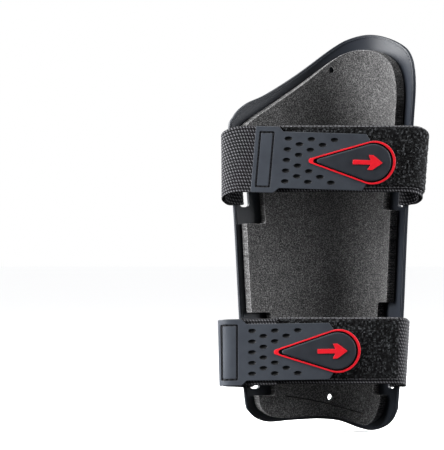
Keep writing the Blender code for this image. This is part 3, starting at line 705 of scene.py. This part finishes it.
class Look:
    """A material with its Principled shader, and short calls for the nodes that feed it."""

    def __init__(self, name, roughness=0.5, **sockets):
        self.material = bpy.data.materials.new(name)
        self.material.use_nodes = True
        self.tree = self.material.node_tree
        self.shader = self.tree.nodes["Principled BSDF"]
        self.shader.inputs["Roughness"].default_value = roughness
        for socket, value in sockets.items():
            self.shader.inputs[socket.replace("_", " ")].default_value = value

    def node(self, kind, **inputs):
        made = self.tree.nodes.new(kind)
        for name, value in inputs.items():
            socket = made.inputs[name.replace("_", " ")]
            if isinstance(value, bpy.types.NodeSocket):
                self.tree.links.new(value, socket)
            else:
                socket.default_value = value
        return made

    def layout(self, stretch=(1, 1, 1)):
        """The piece's flat layout in millimetres, stretched along its axes."""
        source = self.tree.nodes.new("ShaderNodeAttribute")
        source.attribute_name = "flat"
        mapping = self.node("ShaderNodeMapping", Vector=source.outputs["Vector"], Scale=stretch)
        return mapping.outputs["Vector"]

    def own_space(self):
        """The piece's own coordinates in millimetres, for a piece with no flat layout."""
        source = self.tree.nodes.new("ShaderNodeTexCoord")
        mapping = self.node("ShaderNodeMapping", Vector=source.outputs["Object"], Scale=(1 / MM,) * 3)
        return mapping.outputs["Vector"]

    def value(self, attribute):
        source = self.tree.nodes.new("ShaderNodeAttribute")
        source.attribute_name = attribute
        return source.outputs["Fac"]

    def noise(self, vector, scale, detail=3.0, roughness=0.55):
        values = {"Vector": vector, "Scale": scale, "Detail": detail, "Roughness": roughness}
        return self.node("ShaderNodeTexNoise", **values).outputs["Fac"]

    def cells(self, vector, scale):
        return self.node("ShaderNodeTexVoronoi", Vector=vector, Scale=scale).outputs["Distance"]

    def over(self, vector, low, high):
        """0 to 1 as the layout's third value runs from low to high."""
        depth = self.node("ShaderNodeSeparateXYZ", Vector=vector).outputs["Z"]
        made = self.node("ShaderNodeMapRange", Value=depth, From_Min=low, From_Max=high)
        return made.outputs["Result"]

    def ramp(self, factor, *stops):
        """Each stop is a place from 0 to 1 and a colour, or a number that stands for a grey."""
        made = self.tree.nodes.new("ShaderNodeValToRGB")
        self.tree.links.new(factor, made.inputs["Fac"])
        while len(made.color_ramp.elements) < len(stops):
            made.color_ramp.elements.new(0.5)
        for element, (at, colour) in zip(made.color_ramp.elements, stops):
            element.position = at
            shade = colour if isinstance(colour, tuple) else (colour,) * 3
            element.color = (*shade, 1)
        return made.outputs["Color"]

    def mixed(self, factor, first, second, blend="MIX"):
        made = self.tree.nodes.new("ShaderNodeMix")
        made.data_type = "RGBA"
        made.blend_type = blend
        named = {s.identifier: s for s in made.inputs}
        for value, key in ((factor, "Factor_Float"), (first, "A_Color"), (second, "B_Color")):
            socket = named[key]
            if isinstance(value, bpy.types.NodeSocket):
                self.tree.links.new(value, socket)
            elif isinstance(value, tuple):
                socket.default_value = (*value, 1)
            else:
                socket.default_value = value
        return {s.identifier: s for s in made.outputs}["Result_Color"]

    def times(self, first, second, factor=1.0):
        return self.mixed(factor, first, second, "MULTIPLY")

    def shades(self, factor, places, colours):
        return self.ramp(factor, *zip(places, colours))

    def colour(self, socket):
        self.tree.links.new(socket, self.shader.inputs["Base Color"])

    def roughness(self, socket):
        self.tree.links.new(socket, self.shader.inputs["Roughness"])

    def bump(self, *layers):
        """Each layer is a height, its strength and its distance in millimetres."""
        last = None
        for height, strength, distance in layers:
            made = self.node("ShaderNodeBump", Height=height, Strength=strength, Distance=distance * MM)
            if last:
                self.tree.links.new(last, made.inputs["Normal"])
            last = made.outputs["Normal"]
        self.tree.links.new(last, self.shader.inputs["Normal"])


def shell_look():
    """Fine satin plastic, with polished black faces on the relief."""
    look = Look("shell_plastic", Specular_IOR_Level=0.5)
    flat = look.layout()
    cloud = look.noise(flat, 0.035, 4)
    grain = look.noise(flat, 2.4, 2)
    relief = look.ramp(look.over(flat, RIM_HEIGHT, BLADE_HEIGHT), (0.15, 0.0), (0.5, 1.0))
    body = look.shades(cloud, (0.3, 0.7), SHELL_SATIN)
    look.colour(look.mixed(relief, body, look.shades(cloud, (0.3, 0.7), SHELL_POLISHED)))
    cloudy = look.ramp(cloud, (0.35, 0.37), (0.7, 0.41))
    satin = look.mixed(0.5, cloudy, look.ramp(grain, (0.3, 0.34), (0.7, 0.46)))
    look.roughness(look.mixed(relief, satin, look.ramp(cloud, (0.35, 0.14), (0.7, 0.2))))
    scratch = look.noise(look.layout((0.9, 0.05, 1)), 1.0, 2, 0.3)
    look.bump((grain, 0.12, 0.05), (look.ramp(scratch, (0.62, 0.5), (0.66, 0.44)), 0.06, 0.05))
    return look.material


def foam_look():
    """Speckled foam with streaked walls, a painted highlight along its cut edges, painted light on its
    walls and painted shade in its fold.
    """
    look = Look("foam", roughness=0.95, Sheen_Weight=0.08, Sheen_Roughness=0.5, Specular_IOR_Level=0.15)
    flat = look.layout()
    fleck = look.noise(flat, 1.15, 4, 0.7)
    worn = look.ramp(look.noise(flat, 0.05, 3), (0.3, 0.8), (0.7, 1.0))
    # painted shade: the colour is darkened inside the fold
    fold = look.ramp(look.value("fold"), (0.0, 1.0), (0.3, 0.1))
    face = look.times(look.times(look.shades(fleck, (0.37, 0.5, 0.65), FOAM_FLECKS), worn), fold)
    depth = look.over(flat, PAD_REAR, PAD_FRONT)
    # painted highlight along the rounded cut edges, and painted light that makes the side walls lighter
    # than the face
    edge = look.ramp(depth, (0.0, 0.45), (0.004, 0.85), (0.07, 0.95), (0.12, 0.7), (1.0, 0.55))
    streaks = look.ramp(look.noise(look.layout((1.7, 1.7, 0.04)), 1.0, 3), (0.4, 0.3), (0.6, 1.1))
    on_wall = look.ramp(depth, (0.08, 0.0), (0.12, 1.0))
    look.colour(look.times(look.times(face, edge), look.mixed(on_wall, (1, 1, 1), streaks)))
    look.bump((look.cells(flat, 1.35), 0.5, 0.35), (fleck, 0.6, 0.3))
    return look.material


def webbing_look():
    """Ribbed yarn, with a painted highlight on its crowns and painted shade between them."""
    look = Look("webbing", roughness=0.8, Sheen_Weight=0.06, Sheen_Roughness=0.4, Specular_IOR_Level=0.2)
    fibre = look.noise(look.layout((1.0, 4.5, 1)), 1.6, 3)
    # painted light and shade: the rib's height picks the grey, dark in the valleys and light on the crowns
    shade = look.shades(look.value("yarn"), (0.2, 0.5, 0.9), YARN_PAINTED_LIGHT_AND_SHADE)
    look.colour(look.times(shade, look.ramp(fibre, (0.3, 0.45), (0.7, 1.0)), 0.55))
    look.bump((fibre, 0.5, 0.12),)
    return look.material


def pile_look():
    """Black loops, with a painted highlight at their tips and painted shade down between them."""
    look = Look("pile", roughness=1.0, Sheen_Weight=0.03, Sheen_Roughness=0.6, Specular_IOR_Level=0.08)
    flat = look.layout()
    nap = look.noise(flat, 1.1, 4, 0.75)
    # painted light and shade: the nap's height picks the grey, dark low down and light at the tips
    shade = look.shades(look.value("yarn"), (0.2, 0.5, 0.75, 1.0), PILE_PAINTED_LIGHT_AND_SHADE)
    look.colour(look.times(shade, look.ramp(nap, (0.4, 0.3), (0.62, 1.0)), 0.8))
    look.bump((nap, 0.9, 0.45), (look.cells(flat, 2.2), 0.5, 0.25))
    return look.material


def rubber_look(name, greys):
    """Satin rubber, with painted shade darkening the hollows of the tab's face."""
    look = Look(name, Specular_IOR_Level=0.3)
    flat = look.layout()
    grain = look.noise(flat, 3.5, 2)
    shade = look.shades(look.noise(flat, 0.12, 3), (0.3, 0.7), greys)
    # painted shade: the colour darkens below the tab's top face, down the groove, dimples, pocket and sides
    sunk = look.over(flat, TAB_TOP - GROOVE_DEPTH, TAB_TOP)
    look.colour(look.times(shade, look.ramp(sunk, (0.0, 0.05), (0.35, 0.12), (0.8, 0.55), (0.92, 1.0))))
    look.roughness(look.ramp(grain, (0.3, 0.36), (0.7, 0.5)))
    look.bump((grain, 0.25, 0.05),)
    return look.material


def inlay_look():
    look = Look("red_inlay", Specular_IOR_Level=0.45)
    flat = look.layout()
    grain = look.noise(flat, 3.0, 2)
    look.colour(look.shades(look.noise(flat, 0.3, 3), (0.3, 0.7), INLAY_RED))
    look.roughness(look.ramp(grain, (0.3, 0.34), (0.7, 0.48)))
    look.bump((grain, 0.2, 0.04),)
    return look.material


def thread_look(name, greys, sheen, specular):
    look = Look(name, roughness=0.7, Sheen_Weight=sheen, Specular_IOR_Level=specular)
    twist = look.noise(look.layout((2.5, 2.5, 2.5)), 1.2, 2)
    look.colour(look.shades(twist, (0.35, 0.65), greys))
    look.bump((twist, 0.6, 0.12),)
    return look.material


def film_look():
    look = Look("film", roughness=0.5)
    space = look.own_space()
    look.colour(look.shades(look.noise(space, 0.2, 3), (0.3, 0.7), FILM_STRAW))
    look.bump((look.noise(space, 1.5, 3), 0.4, 0.1),)
    return look.material


def hook_look():
    look = Look("hook", roughness=0.55, Specular_IOR_Level=0.4)
    hooks = look.cells(look.own_space(), 0.9)
    look.colour(look.shades(hooks, (0.1, 0.5), HOOK_BLACK[::-1]))
    look.bump((look.ramp(hooks, (0.1, 1.0), (0.5, 0.0)), 1.0, 0.5),)
    return look.material


LOOKS = {
    "shell_plastic": shell_look(),
    "foam": foam_look(),
    "webbing": webbing_look(),
    "pile": pile_look(),
    "tab_rubber": rubber_look("tab_rubber", TAB_GREY),
    "button": rubber_look("button_rubber", BUTTON_GREY),
    "red_inlay": inlay_look(),
    "thread": thread_look("thread", THREAD_BLACK, 0.05, 0.2),
    "seam": thread_look("seam_thread", SEAM_GREY, 0.1, 0.3),
    "film": film_look(),
    "hook": hook_look(),
}


def settle(obj, name, slot, body, node=None, look=None):
    """Names a finished piece, gives it its material, and lets it stand for its CAD node."""
    obj.name = name
    obj.data.name = name
    obj.data.materials.clear()
    obj.data.materials.append(LOOKS[look or slot])
    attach(obj, body)
    if node:
        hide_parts(node)
    return obj


# --- Shell and pad ---

def make_shell():
    """The shell, with a rim round each slot, a bead along its edge on both faces, and the relief."""
    edge = unrolled_all(smooth_outline(OUTLINE))
    slots = [(side, strap["height"]) for strap in STRAPS.values() for side in (-1, 1)]
    holes = [slot_outline(side, height) for side, height in slots]
    holes += [circle(unrolled(*hole), HOLE_RADIUS) for hole in SHELL_HOLES]
    shell = softened(plate(edge, -WALL, 0, holes), SHELL_EDGE, SHELL_SEGMENTS)

    def raise_on_shell(part, *rounding):
        combine(shell, softened(part, *rounding), "UNION")

    for side, height in slots:
        raise_on_shell(plate(slot_outline(side, height, RIM_STEP + RIM_WIDTH), -RELIEF_ROOT, RIM_HEIGHT,
                             [slot_outline(side, height, RIM_STEP)]), RIM_EDGE, SHELL_SEGMENTS)
    near, far = BEAD_INSET - BEAD_WIDTH / 2, BEAD_INSET + BEAD_WIDTH / 2
    for low, high in ((-RELIEF_ROOT, BEAD_HEIGHT), (-WALL - BEAD_HEIGHT, -WALL + RELIEF_ROOT)):
        raise_on_shell(plate(inset(edge, near), low, high, [inset(edge, far)]), BEAD_EDGE, SHELL_SEGMENTS)
    spear = stacked((unrolled_all(SPEAR), -RELIEF_ROOT), (unrolled_all(SPEAR_TOP), RELIEF_HEIGHT))
    combine(spear, stacked((unrolled_all(SPEAR_WINDOW_FLOOR), -2 * RELIEF_ROOT),
                           (unrolled_all(SPEAR_WINDOW), RELIEF_HEIGHT + RELIEF_ROOT)))
    raise_on_shell(spear, SPEAR_EDGE, SHELL_SEGMENTS, RELIEF_FROM)
    for base, top in BLADES:
        blade = stacked((unrolled_all(base), -RELIEF_ROOT), (unrolled_all(top), BLADE_HEIGHT))
        raise_on_shell(blade, BLADE_EDGE, SHELL_SEGMENTS, RELIEF_FROM)
    bent(scored(shell, SHELL_COLUMN, SHELL_ROW), on_shell, sharp=SHELL_SHARP)
    settle(shell, "shell_moulding", "shell_plastic", "guard", "shell")


def notch(strap, half):
    """The cutter of the pad's notch beside one slot."""
    below, above = half["notch"]
    low, high = strap["height"] - SLOT_HEIGHT / 2 - below, strap["height"] + SLOT_HEIGHT / 2 + above
    far = BAR_WIDTH + SLOT_WIDTH + NOTCH_MARGIN
    patch = side_patch(half["side"], low, high, -NOTCH_REACH, far, NOTCH_CORNER)
    return plate(patch, PAD_REAR - CUTTER_PLAY, PAD_FRONT + CUTTER_PLAY)


def crease_cutter(line):
    """The cutter of the fold, which narrows into the pad."""
    along = unit(np.gradient(line, axis=0))
    beside = np.stack([-along[:, 1], along[:, 0]], -1) * CREASE_WIDTH / 2
    wide = np.concatenate([line + beside, (line - beside)[::-1]])
    narrow = np.concatenate([line + beside * CREASE_TAPER, (line - beside * CREASE_TAPER)[::-1]])
    return stacked((wide, PAD_REAR - CREASE_DEPTH), (narrow, PAD_REAR + CREASE_DEPTH))


def mark_fold(pad, line):
    """Marks the flat pad's points inside the fold, where its material paints shade."""
    flat = np.array([vertex.co[:] for vertex in pad.data.vertices])
    from_line = np.linalg.norm(flat[:, None, :2] - line, axis=-1).min(axis=1)
    sunk = (flat[:, 2] - PAD_REAR) / CREASE_DEPTH
    least, most = FOLD_SHARES
    keep(pad.data, "fold", (from_line < CREASE_REACH) & (sunk > least) & (sunk < most))


def make_pad():
    holes = [circle(unrolled(*hole), HOLE_RADIUS) for hole in PAD_HOLES]
    pad = plate(unrolled_all(smooth_outline(PAD_OUTLINE)), PAD_REAR, PAD_FRONT, holes)
    for strap in STRAPS.values():
        for half in (strap["tab"], strap["band"]):
            combine(pad, notch(strap, half))
    softened(pad, PAD_EDGE)
    crossing = np.linspace(*CREASE_ENDS, CREASE_POINTS)
    line = np.array(unrolled_all(zip(crossing, np.polyval(CREASE_CURVE, crossing))))
    combine(pad, crease_cutter(line))
    scored(pad, SHELL_COLUMN, SHELL_ROW)
    mark_fold(pad, line)
    bent(pad, on_shell)
    settle(pad, "foam_pad", "foam", "guard", "pad")


# --- Tabs ---

def dimple(at, across):
    """The cutter of one oval dimple, an ellipsoid sunk into the tab's face."""
    bm = bmesh.new()
    bmesh.ops.create_uvsphere(bm, u_segments=20, v_segments=12, radius=1)
    centre = Vector((at, across, TAB_TOP + DIMPLE_RISE))
    size = Vector((DIMPLE_LENGTH / 2, DIMPLE_WIDTH / 2, DIMPLE_DEPTH + DIMPLE_RISE))
    for vertex in bm.verts:
        vertex.co = centre + vertex.co * size
    return object_from(bm, "dimple")


def stitch_line(inward):
    """The rectangle of the head's stitching, drawn in by a distance."""
    first, last, half = STITCH_BOX
    return rectangle(first + inward, last - inward, -half + inward, half - inward)


def inlay_opening():
    return teardrop(OUTLINE_INSET + OUTLINE_WIDTH, OUTLINE_SHIFT)


def flat_tab():
    """The tab: a wide sewn head, a body with rows of dimples, and a round lobe with the button's pocket."""
    lobe = arc(LOBE_CENTRE, LOBE_RADIUS, LOBE_MEETS, -LOBE_MEETS, LOBE_POINTS)
    side = [(0, HEAD_HALF), (HEAD_LENGTH, HEAD_HALF), (SHOULDER, BODY_HALF), (BODY_LENGTH, BODY_HALF)]
    tab = plate(side + lobe + [(x, -y) for x, y in reversed(side)], TAB_BASE, TAB_TOP)
    outside, inside = GROOVE_CORNERS
    ring = rounded(stitch_line(0), outside, GROOVE_STEPS)
    core = rounded(stitch_line(GROOVE_WIDTH), inside, GROOVE_STEPS)
    combine(tab, plate(ring, TAB_TOP - GROOVE_DEPTH, TAB_TOP + CUTTER_PLAY, [core]))
    softened(tab, TAB_EDGE)
    for k, row in enumerate(DIMPLE_ROWS):
        for across in row:
            combine(tab, dimple(DIMPLE_FIRST + k * DIMPLE_STEP, across))
    return combine(tab, plate(inlay_opening(), TAB_TOP - POCKET_DEPTH, TAB_TOP + CUTTER_PLAY))


def flat_inlay():
    ring = plate(teardrop(OUTLINE_INSET), INLAY_LEVEL, INLAY_LEVEL + OUTLINE_THICKNESS, [inlay_opening()])
    return softened(ring, INLAY_EDGE)


def flat_button():
    """The domed button, with its foot in the tab's pocket."""
    rings = [(0.0, -POCKET_DEPTH)] + [(inward, share * BUTTON_HEIGHT) for inward, share in BUTTON_PROFILE]
    return stacked(*((teardrop(BUTTON_INSET + inward, BUTTON_SHIFT), INLAY_LEVEL + over)
                     for inward, over in rings))


def flat_arrow():
    return softened(plate(arrow_outline(), ARROW_LEVEL, ARROW_LEVEL + ARROW_THICKNESS), ARROW_EDGE)


def make_tab(name, track, start, body):
    """The tab, its inlay, button and arrow, and the stitches in its groove, bent along the strap."""
    for flat, piece, slot, node, look in (
        (flat_tab(), "pull_tab", "tab_rubber", "tab", None),
        (flat_inlay(), "teardrop_inlay", "red_inlay", "tab_outline", None),
        (flat_button(), "button", "tab_rubber", "tab_button", "button"),
        (flat_arrow(), "pull_arrow", "red_inlay", "tab_arrow", None),
    ):
        bent(scored(flat, TAB_COLUMN), track.frame, start)
        settle(flat, f"{name}_{piece}", slot, body, f"{name}_{node}", look)
    ring = stitch_line(GROOVE_WIDTH / 2)
    thread = stitches(ring + ring[:1], TAB_TOP - GROOVE_DEPTH + STITCH_RADIUS + STITCH_PLAY)
    bent(thread, track.frame, start)
    settle(thread, f"{name}_tab_stitches", "thread", body, f"{name}_tab_stitching")


def stitches(path, over):
    """Stitches laid end to end along the path, in one mesh."""
    round_it, along_it = STITCH_SIDES
    bm = bmesh.new()
    for a, b in zip(path, path[1:]):
        a, b = Vector((*a, over)), Vector((*b, over))
        count = max(1, round((b - a).length / STITCH_PITCH))
        turn = (b - a).to_track_quat("X", "Z").to_matrix().to_4x4()
        for k in range(count):
            made = bmesh.ops.create_uvsphere(bm, u_segments=round_it, v_segments=along_it,
                                             radius=STITCH_RADIUS)
            for v in made["verts"]:
                v.co = turn @ Vector((v.co.x * STITCH_LENGTH / 2 / STITCH_RADIUS, v.co.y, v.co.z))
                v.co += a.lerp(b, (k + 0.5) / count)
    return object_from(bm, "stitches")


# --- Webbing and pile ---

def strip(track, start, end, low, high, across_low, across_high, step, nap, ragged=None):
    """A closed strip along a track. nap(s, across, side) is how far the face stands out, in millimetres.

    ragged is the random source that pushes the strip's long edges out.
    """
    edge = (high - low) / 2
    count = int((across_high - across_low - 2 * edge) / step)
    flat = np.linspace(across_low + edge, across_high - edge, count)
    turn = np.radians([45, 0, -45])
    across = np.concatenate([flat, across_high - edge + edge * np.cos(turn), flat[::-1],
                             across_low + edge - edge * np.cos(turn)])
    middle = (low + high) / 2
    over = np.concatenate([np.full(count, high), middle + edge * np.sin(turn), np.full(count, low),
                           middle - edge * np.sin(turn)])
    side = np.concatenate([np.ones(count), np.zeros(3), -np.ones(count), np.zeros(3)])
    along = np.linspace(start, end, int((end - start) / step))
    s, a = np.meshgrid(along, across, indexing="ij")
    raised = nap(s, a, side[None, :]) * side
    if ragged:
        push = PILE_RAGGED * ragged.random(s.shape) * (side == 0)
        a = a + np.where(a > (across_low + across_high) / 2, push, -push)
    flat_points = np.stack([s, a, np.broadcast_to(over, s.shape) + raised], -1)
    rows, ring = s.shape
    index = np.arange(rows * ring).reshape(rows, ring)
    after = np.roll(index, -1, 1)
    faces = np.stack([index[:-1], index[1:], after[1:], after[:-1]], -1).reshape(-1, 4).tolist()
    faces += [index[0].tolist(), index[-1][::-1].tolist()]
    place, _ = track.frame(flat_points.reshape(-1, 3))
    mesh = bpy.data.meshes.new("strip")
    mesh.from_pydata((place * MM).tolist(), [], faces)
    bm = bmesh.new()
    bm.from_mesh(mesh)
    bmesh.ops.recalc_face_normals(bm, faces=bm.faces)
    bm.to_mesh(mesh)
    bm.free()
    mesh.shade_smooth()
    keep(mesh, "flat", flat_points.reshape(-1, 3))
    # the nap's height, which the materials turn into painted shade low down and a painted highlight on top
    keep(mesh, "yarn", (np.abs(raised) / np.abs(raised).max()).ravel())
    return linked("strip", mesh)


def ribs(s, across, side):
    """Slanted knitted ribs in columns, each column half a rib behind the one before."""
    column = across / RIB_ACROSS
    local = column - np.floor(column) - 0.5
    behind = np.where(np.floor(column) % 2 == 0, 0.0, 0.5)
    rib = np.abs(np.cos(math.pi * (s / RIB_ALONG + RIB_SLANT * local + behind)))
    return RIB_HEIGHT * rib**RIB_SHARPNESS * np.cos(math.pi * local) ** COLUMN_SHARPNESS * (side != 0)


def fuzz(seed):
    """Loop pile in clumps: broad tufts under single loops."""
    random = np.random.default_rng(seed)
    tufts = random.random(TUFT_TABLE)
    last_row, last_column = tufts.shape[0] - 1, tufts.shape[1] - 1

    def nap(s, across, side):
        row = np.clip((s / TUFT_SIZE).astype(int), 0, last_row)
        column = np.clip(((across + PILE_WIDTH) / TUFT_SIZE).astype(int), 0, last_column)
        height = TUFT_SHARE * tufts[row, column] + (1 - TUFT_SHARE) * random.random(s.shape)
        return PILE_NAP * height**TUFT_SHARPNESS * (side > 0)

    return nap


def make_webbing(name, track, body, node):
    half, thick = WEB_WIDTH / 2, WEB_THICKNESS / 2 - RIB_HEIGHT
    web = strip(track, 0, track.length(), -thick, thick, -half, half, WEAVE_STEP, ribs)
    settle(web, name, "webbing", body, node)


def make_tack(name, track, at, body, node):
    half = WEB_WIDTH / 2 - TACK_INSET
    middle = at + TACK_WIDTH / 2
    over = WEB_THICKNESS / 2 + GAP + TACK_THICKNESS / 2
    row = stitches([(middle, -half), (middle, half)], over)
    bent(row, track.frame)
    settle(row, name, "thread", body, node)


def make_pile(name, strap, track, body, seed):
    """The loop pile, sewn to the band's outside with a row of stitches along each long edge."""
    low = LAYER_OFFSET + WEB_THICKNESS / 2 + ON_TOP
    half = PILE_WIDTH / 2
    end = track.where_across(strap["pile_end"])
    pile = strip(track, PILE_START, end, low, low + PILE_THICKNESS - PILE_NAP,
                 PILE_RAISE - half, PILE_RAISE + half, PILE_STEP, fuzz(seed), np.random.default_rng(seed))
    settle(pile, f"{name}_pile", "pile", body, f"{name}_loop_pile")
    reach = half + SEAM_FROM_PILE
    for edge, across in (("top", PILE_RAISE + reach), ("bottom", PILE_RAISE - reach)):
        seam = stitches([(PILE_START, across), (end, across)], low)
        bent(seam, track.frame)
        settle(seam, f"{name}_pile_{edge}_seam", "thread", body, look="seam")


def make_strap(name, strap, seed):
    """Both halves of a strap, each riding on its own body."""
    tab_body, band_body = f"{name}_tab_half", f"{name}_band_half"
    tab_tail = tail_track(strap, strap["tab"])
    make_tab(name, tab_tail, tab_tail.where_across(strap["tab_start"]), tab_body)
    loop = loop_track(tab_tail, strap["inner_layer"], tab_tail.where_across(strap["tail_end"]))
    make_webbing(f"{name}_tab_webbing", loop, tab_body, f"{name}_tab_loop")
    make_tack(f"{name}_loop_stitches", loop, TACK_INSET, tab_body, f"{name}_loop_tack")
    band_tail = tail_track(strap, strap["band"], deeper=BAND_BELOW_TAB)
    band = loop_track(band_tail, band_tail.length(), strap["inner_layer"])
    make_webbing(f"{name}_band_webbing", band, band_body, f"{name}_band")
    tack_at = band.length() - TACK_INSET - TACK_WIDTH
    make_tack(f"{name}_band_stitches", band, tack_at, band_body, f"{name}_band_tack")
    make_pile(name, strap, band_tail.backward(), band_body, seed)


# --- Kept CAD pieces, stage, light and camera ---

def dress_kept(node, slot):
    """Gives a piece that is kept from the CAD its material."""
    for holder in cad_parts[node].material_slots:
        holder.link = "OBJECT"
        holder.material = LOOKS[slot]


def make_floor():
    bpy.ops.mesh.primitive_circle_add(vertices=FLOOR_SIDES, radius=FLOOR_RADIUS, fill_type="NGON")
    floor = bpy.context.object
    floor.name = "floor"
    floor.location.z = CAD_BOX[0].z - FLOOR_GAP
    look = Look("floor", roughness=1.0, Specular_IOR_Level=0.0, Base_Color=FLOOR_WHITE)
    floor.data.materials.append(look.material)
    floor.visible_diffuse = False
    floor.visible_glossy = False


def make_light(name, place, target, size, power, shiny):
    lamp = bpy.data.lights.new(name, "AREA")
    lamp.shape = "SQUARE"
    lamp.size = size
    lamp.energy = power
    obj = linked(name, lamp)
    obj.location = place
    obj.visible_glossy = shiny
    obj.rotation_euler = (Vector(target) - Vector(place)).to_track_quat("-Z", "Y").to_euler()


def make_sun(name, direction, spread, strength):
    lamp = bpy.data.lights.new(name, "SUN")
    lamp.angle = math.radians(spread)
    lamp.energy = strength
    linked(name, lamp).rotation_euler = Vector(direction).to_track_quat("Z", "Y").to_euler()


def make_world():
    """A white backdrop that only the camera sees, and a dim room that lights the object."""
    world = bpy.data.worlds.new("studio")
    world.use_nodes = True
    tree = world.node_tree
    room = tree.nodes["Background"]
    room.inputs["Color"].default_value = ROOM_BLUE
    room.inputs["Strength"].default_value = ROOM_LIGHT
    backdrop = tree.nodes.new("ShaderNodeBackground")
    backdrop.inputs["Color"].default_value = (1, 1, 1, 1)
    backdrop.inputs["Strength"].default_value = 1.0
    path = tree.nodes.new("ShaderNodeLightPath")
    choice = tree.nodes.new("ShaderNodeMixShader")
    tree.links.new(path.outputs["Is Camera Ray"], choice.inputs["Fac"])
    tree.links.new(room.outputs["Background"], choice.inputs[1])
    tree.links.new(backdrop.outputs["Background"], choice.inputs[2])
    tree.links.new(choice.outputs["Shader"], tree.nodes["World Output"].inputs["Surface"])
    bpy.context.scene.world = world


def make_studio():
    make_world()
    bpy.context.scene.view_settings.view_transform = "Standard"
    make_sun("overhead", SUN_FROM, SUN_SPREAD, SUN_STRENGTH)
    middle = (CAD_BOX[0] + CAD_BOX[1]) / 2
    for name, place, size, power, shiny in LIGHTS:
        make_light(name, place, middle, size, power, shiny)


def make_camera():
    camera = bpy.data.cameras.new("camera")
    camera.sensor_width = SENSOR
    camera.lens = SENSOR * CAMERA_DISTANCE / SCALE_OF_VIEW
    camera.clip_end = 50
    obj = linked("camera", camera)
    obj.location = (0, CAMERA_DISTANCE, VIEW_CENTRE[1])
    aim = Vector((VIEW_CENTRE[0], 0, VIEW_CENTRE[1]))
    obj.rotation_euler = (aim - obj.location).to_track_quat("-Z", "Y").to_euler()
    bpy.context.scene.camera = obj


make_camera()
make_studio()
make_floor()
make_shell()
make_pad()
for seed, (name, strap) in enumerate(STRAPS.items()):
    make_strap(name, strap, seed)
dress_kept("pad_adhesive", "film")
for name in STRAPS:
    dress_kept(f"{name}_hook_patch", "hook")
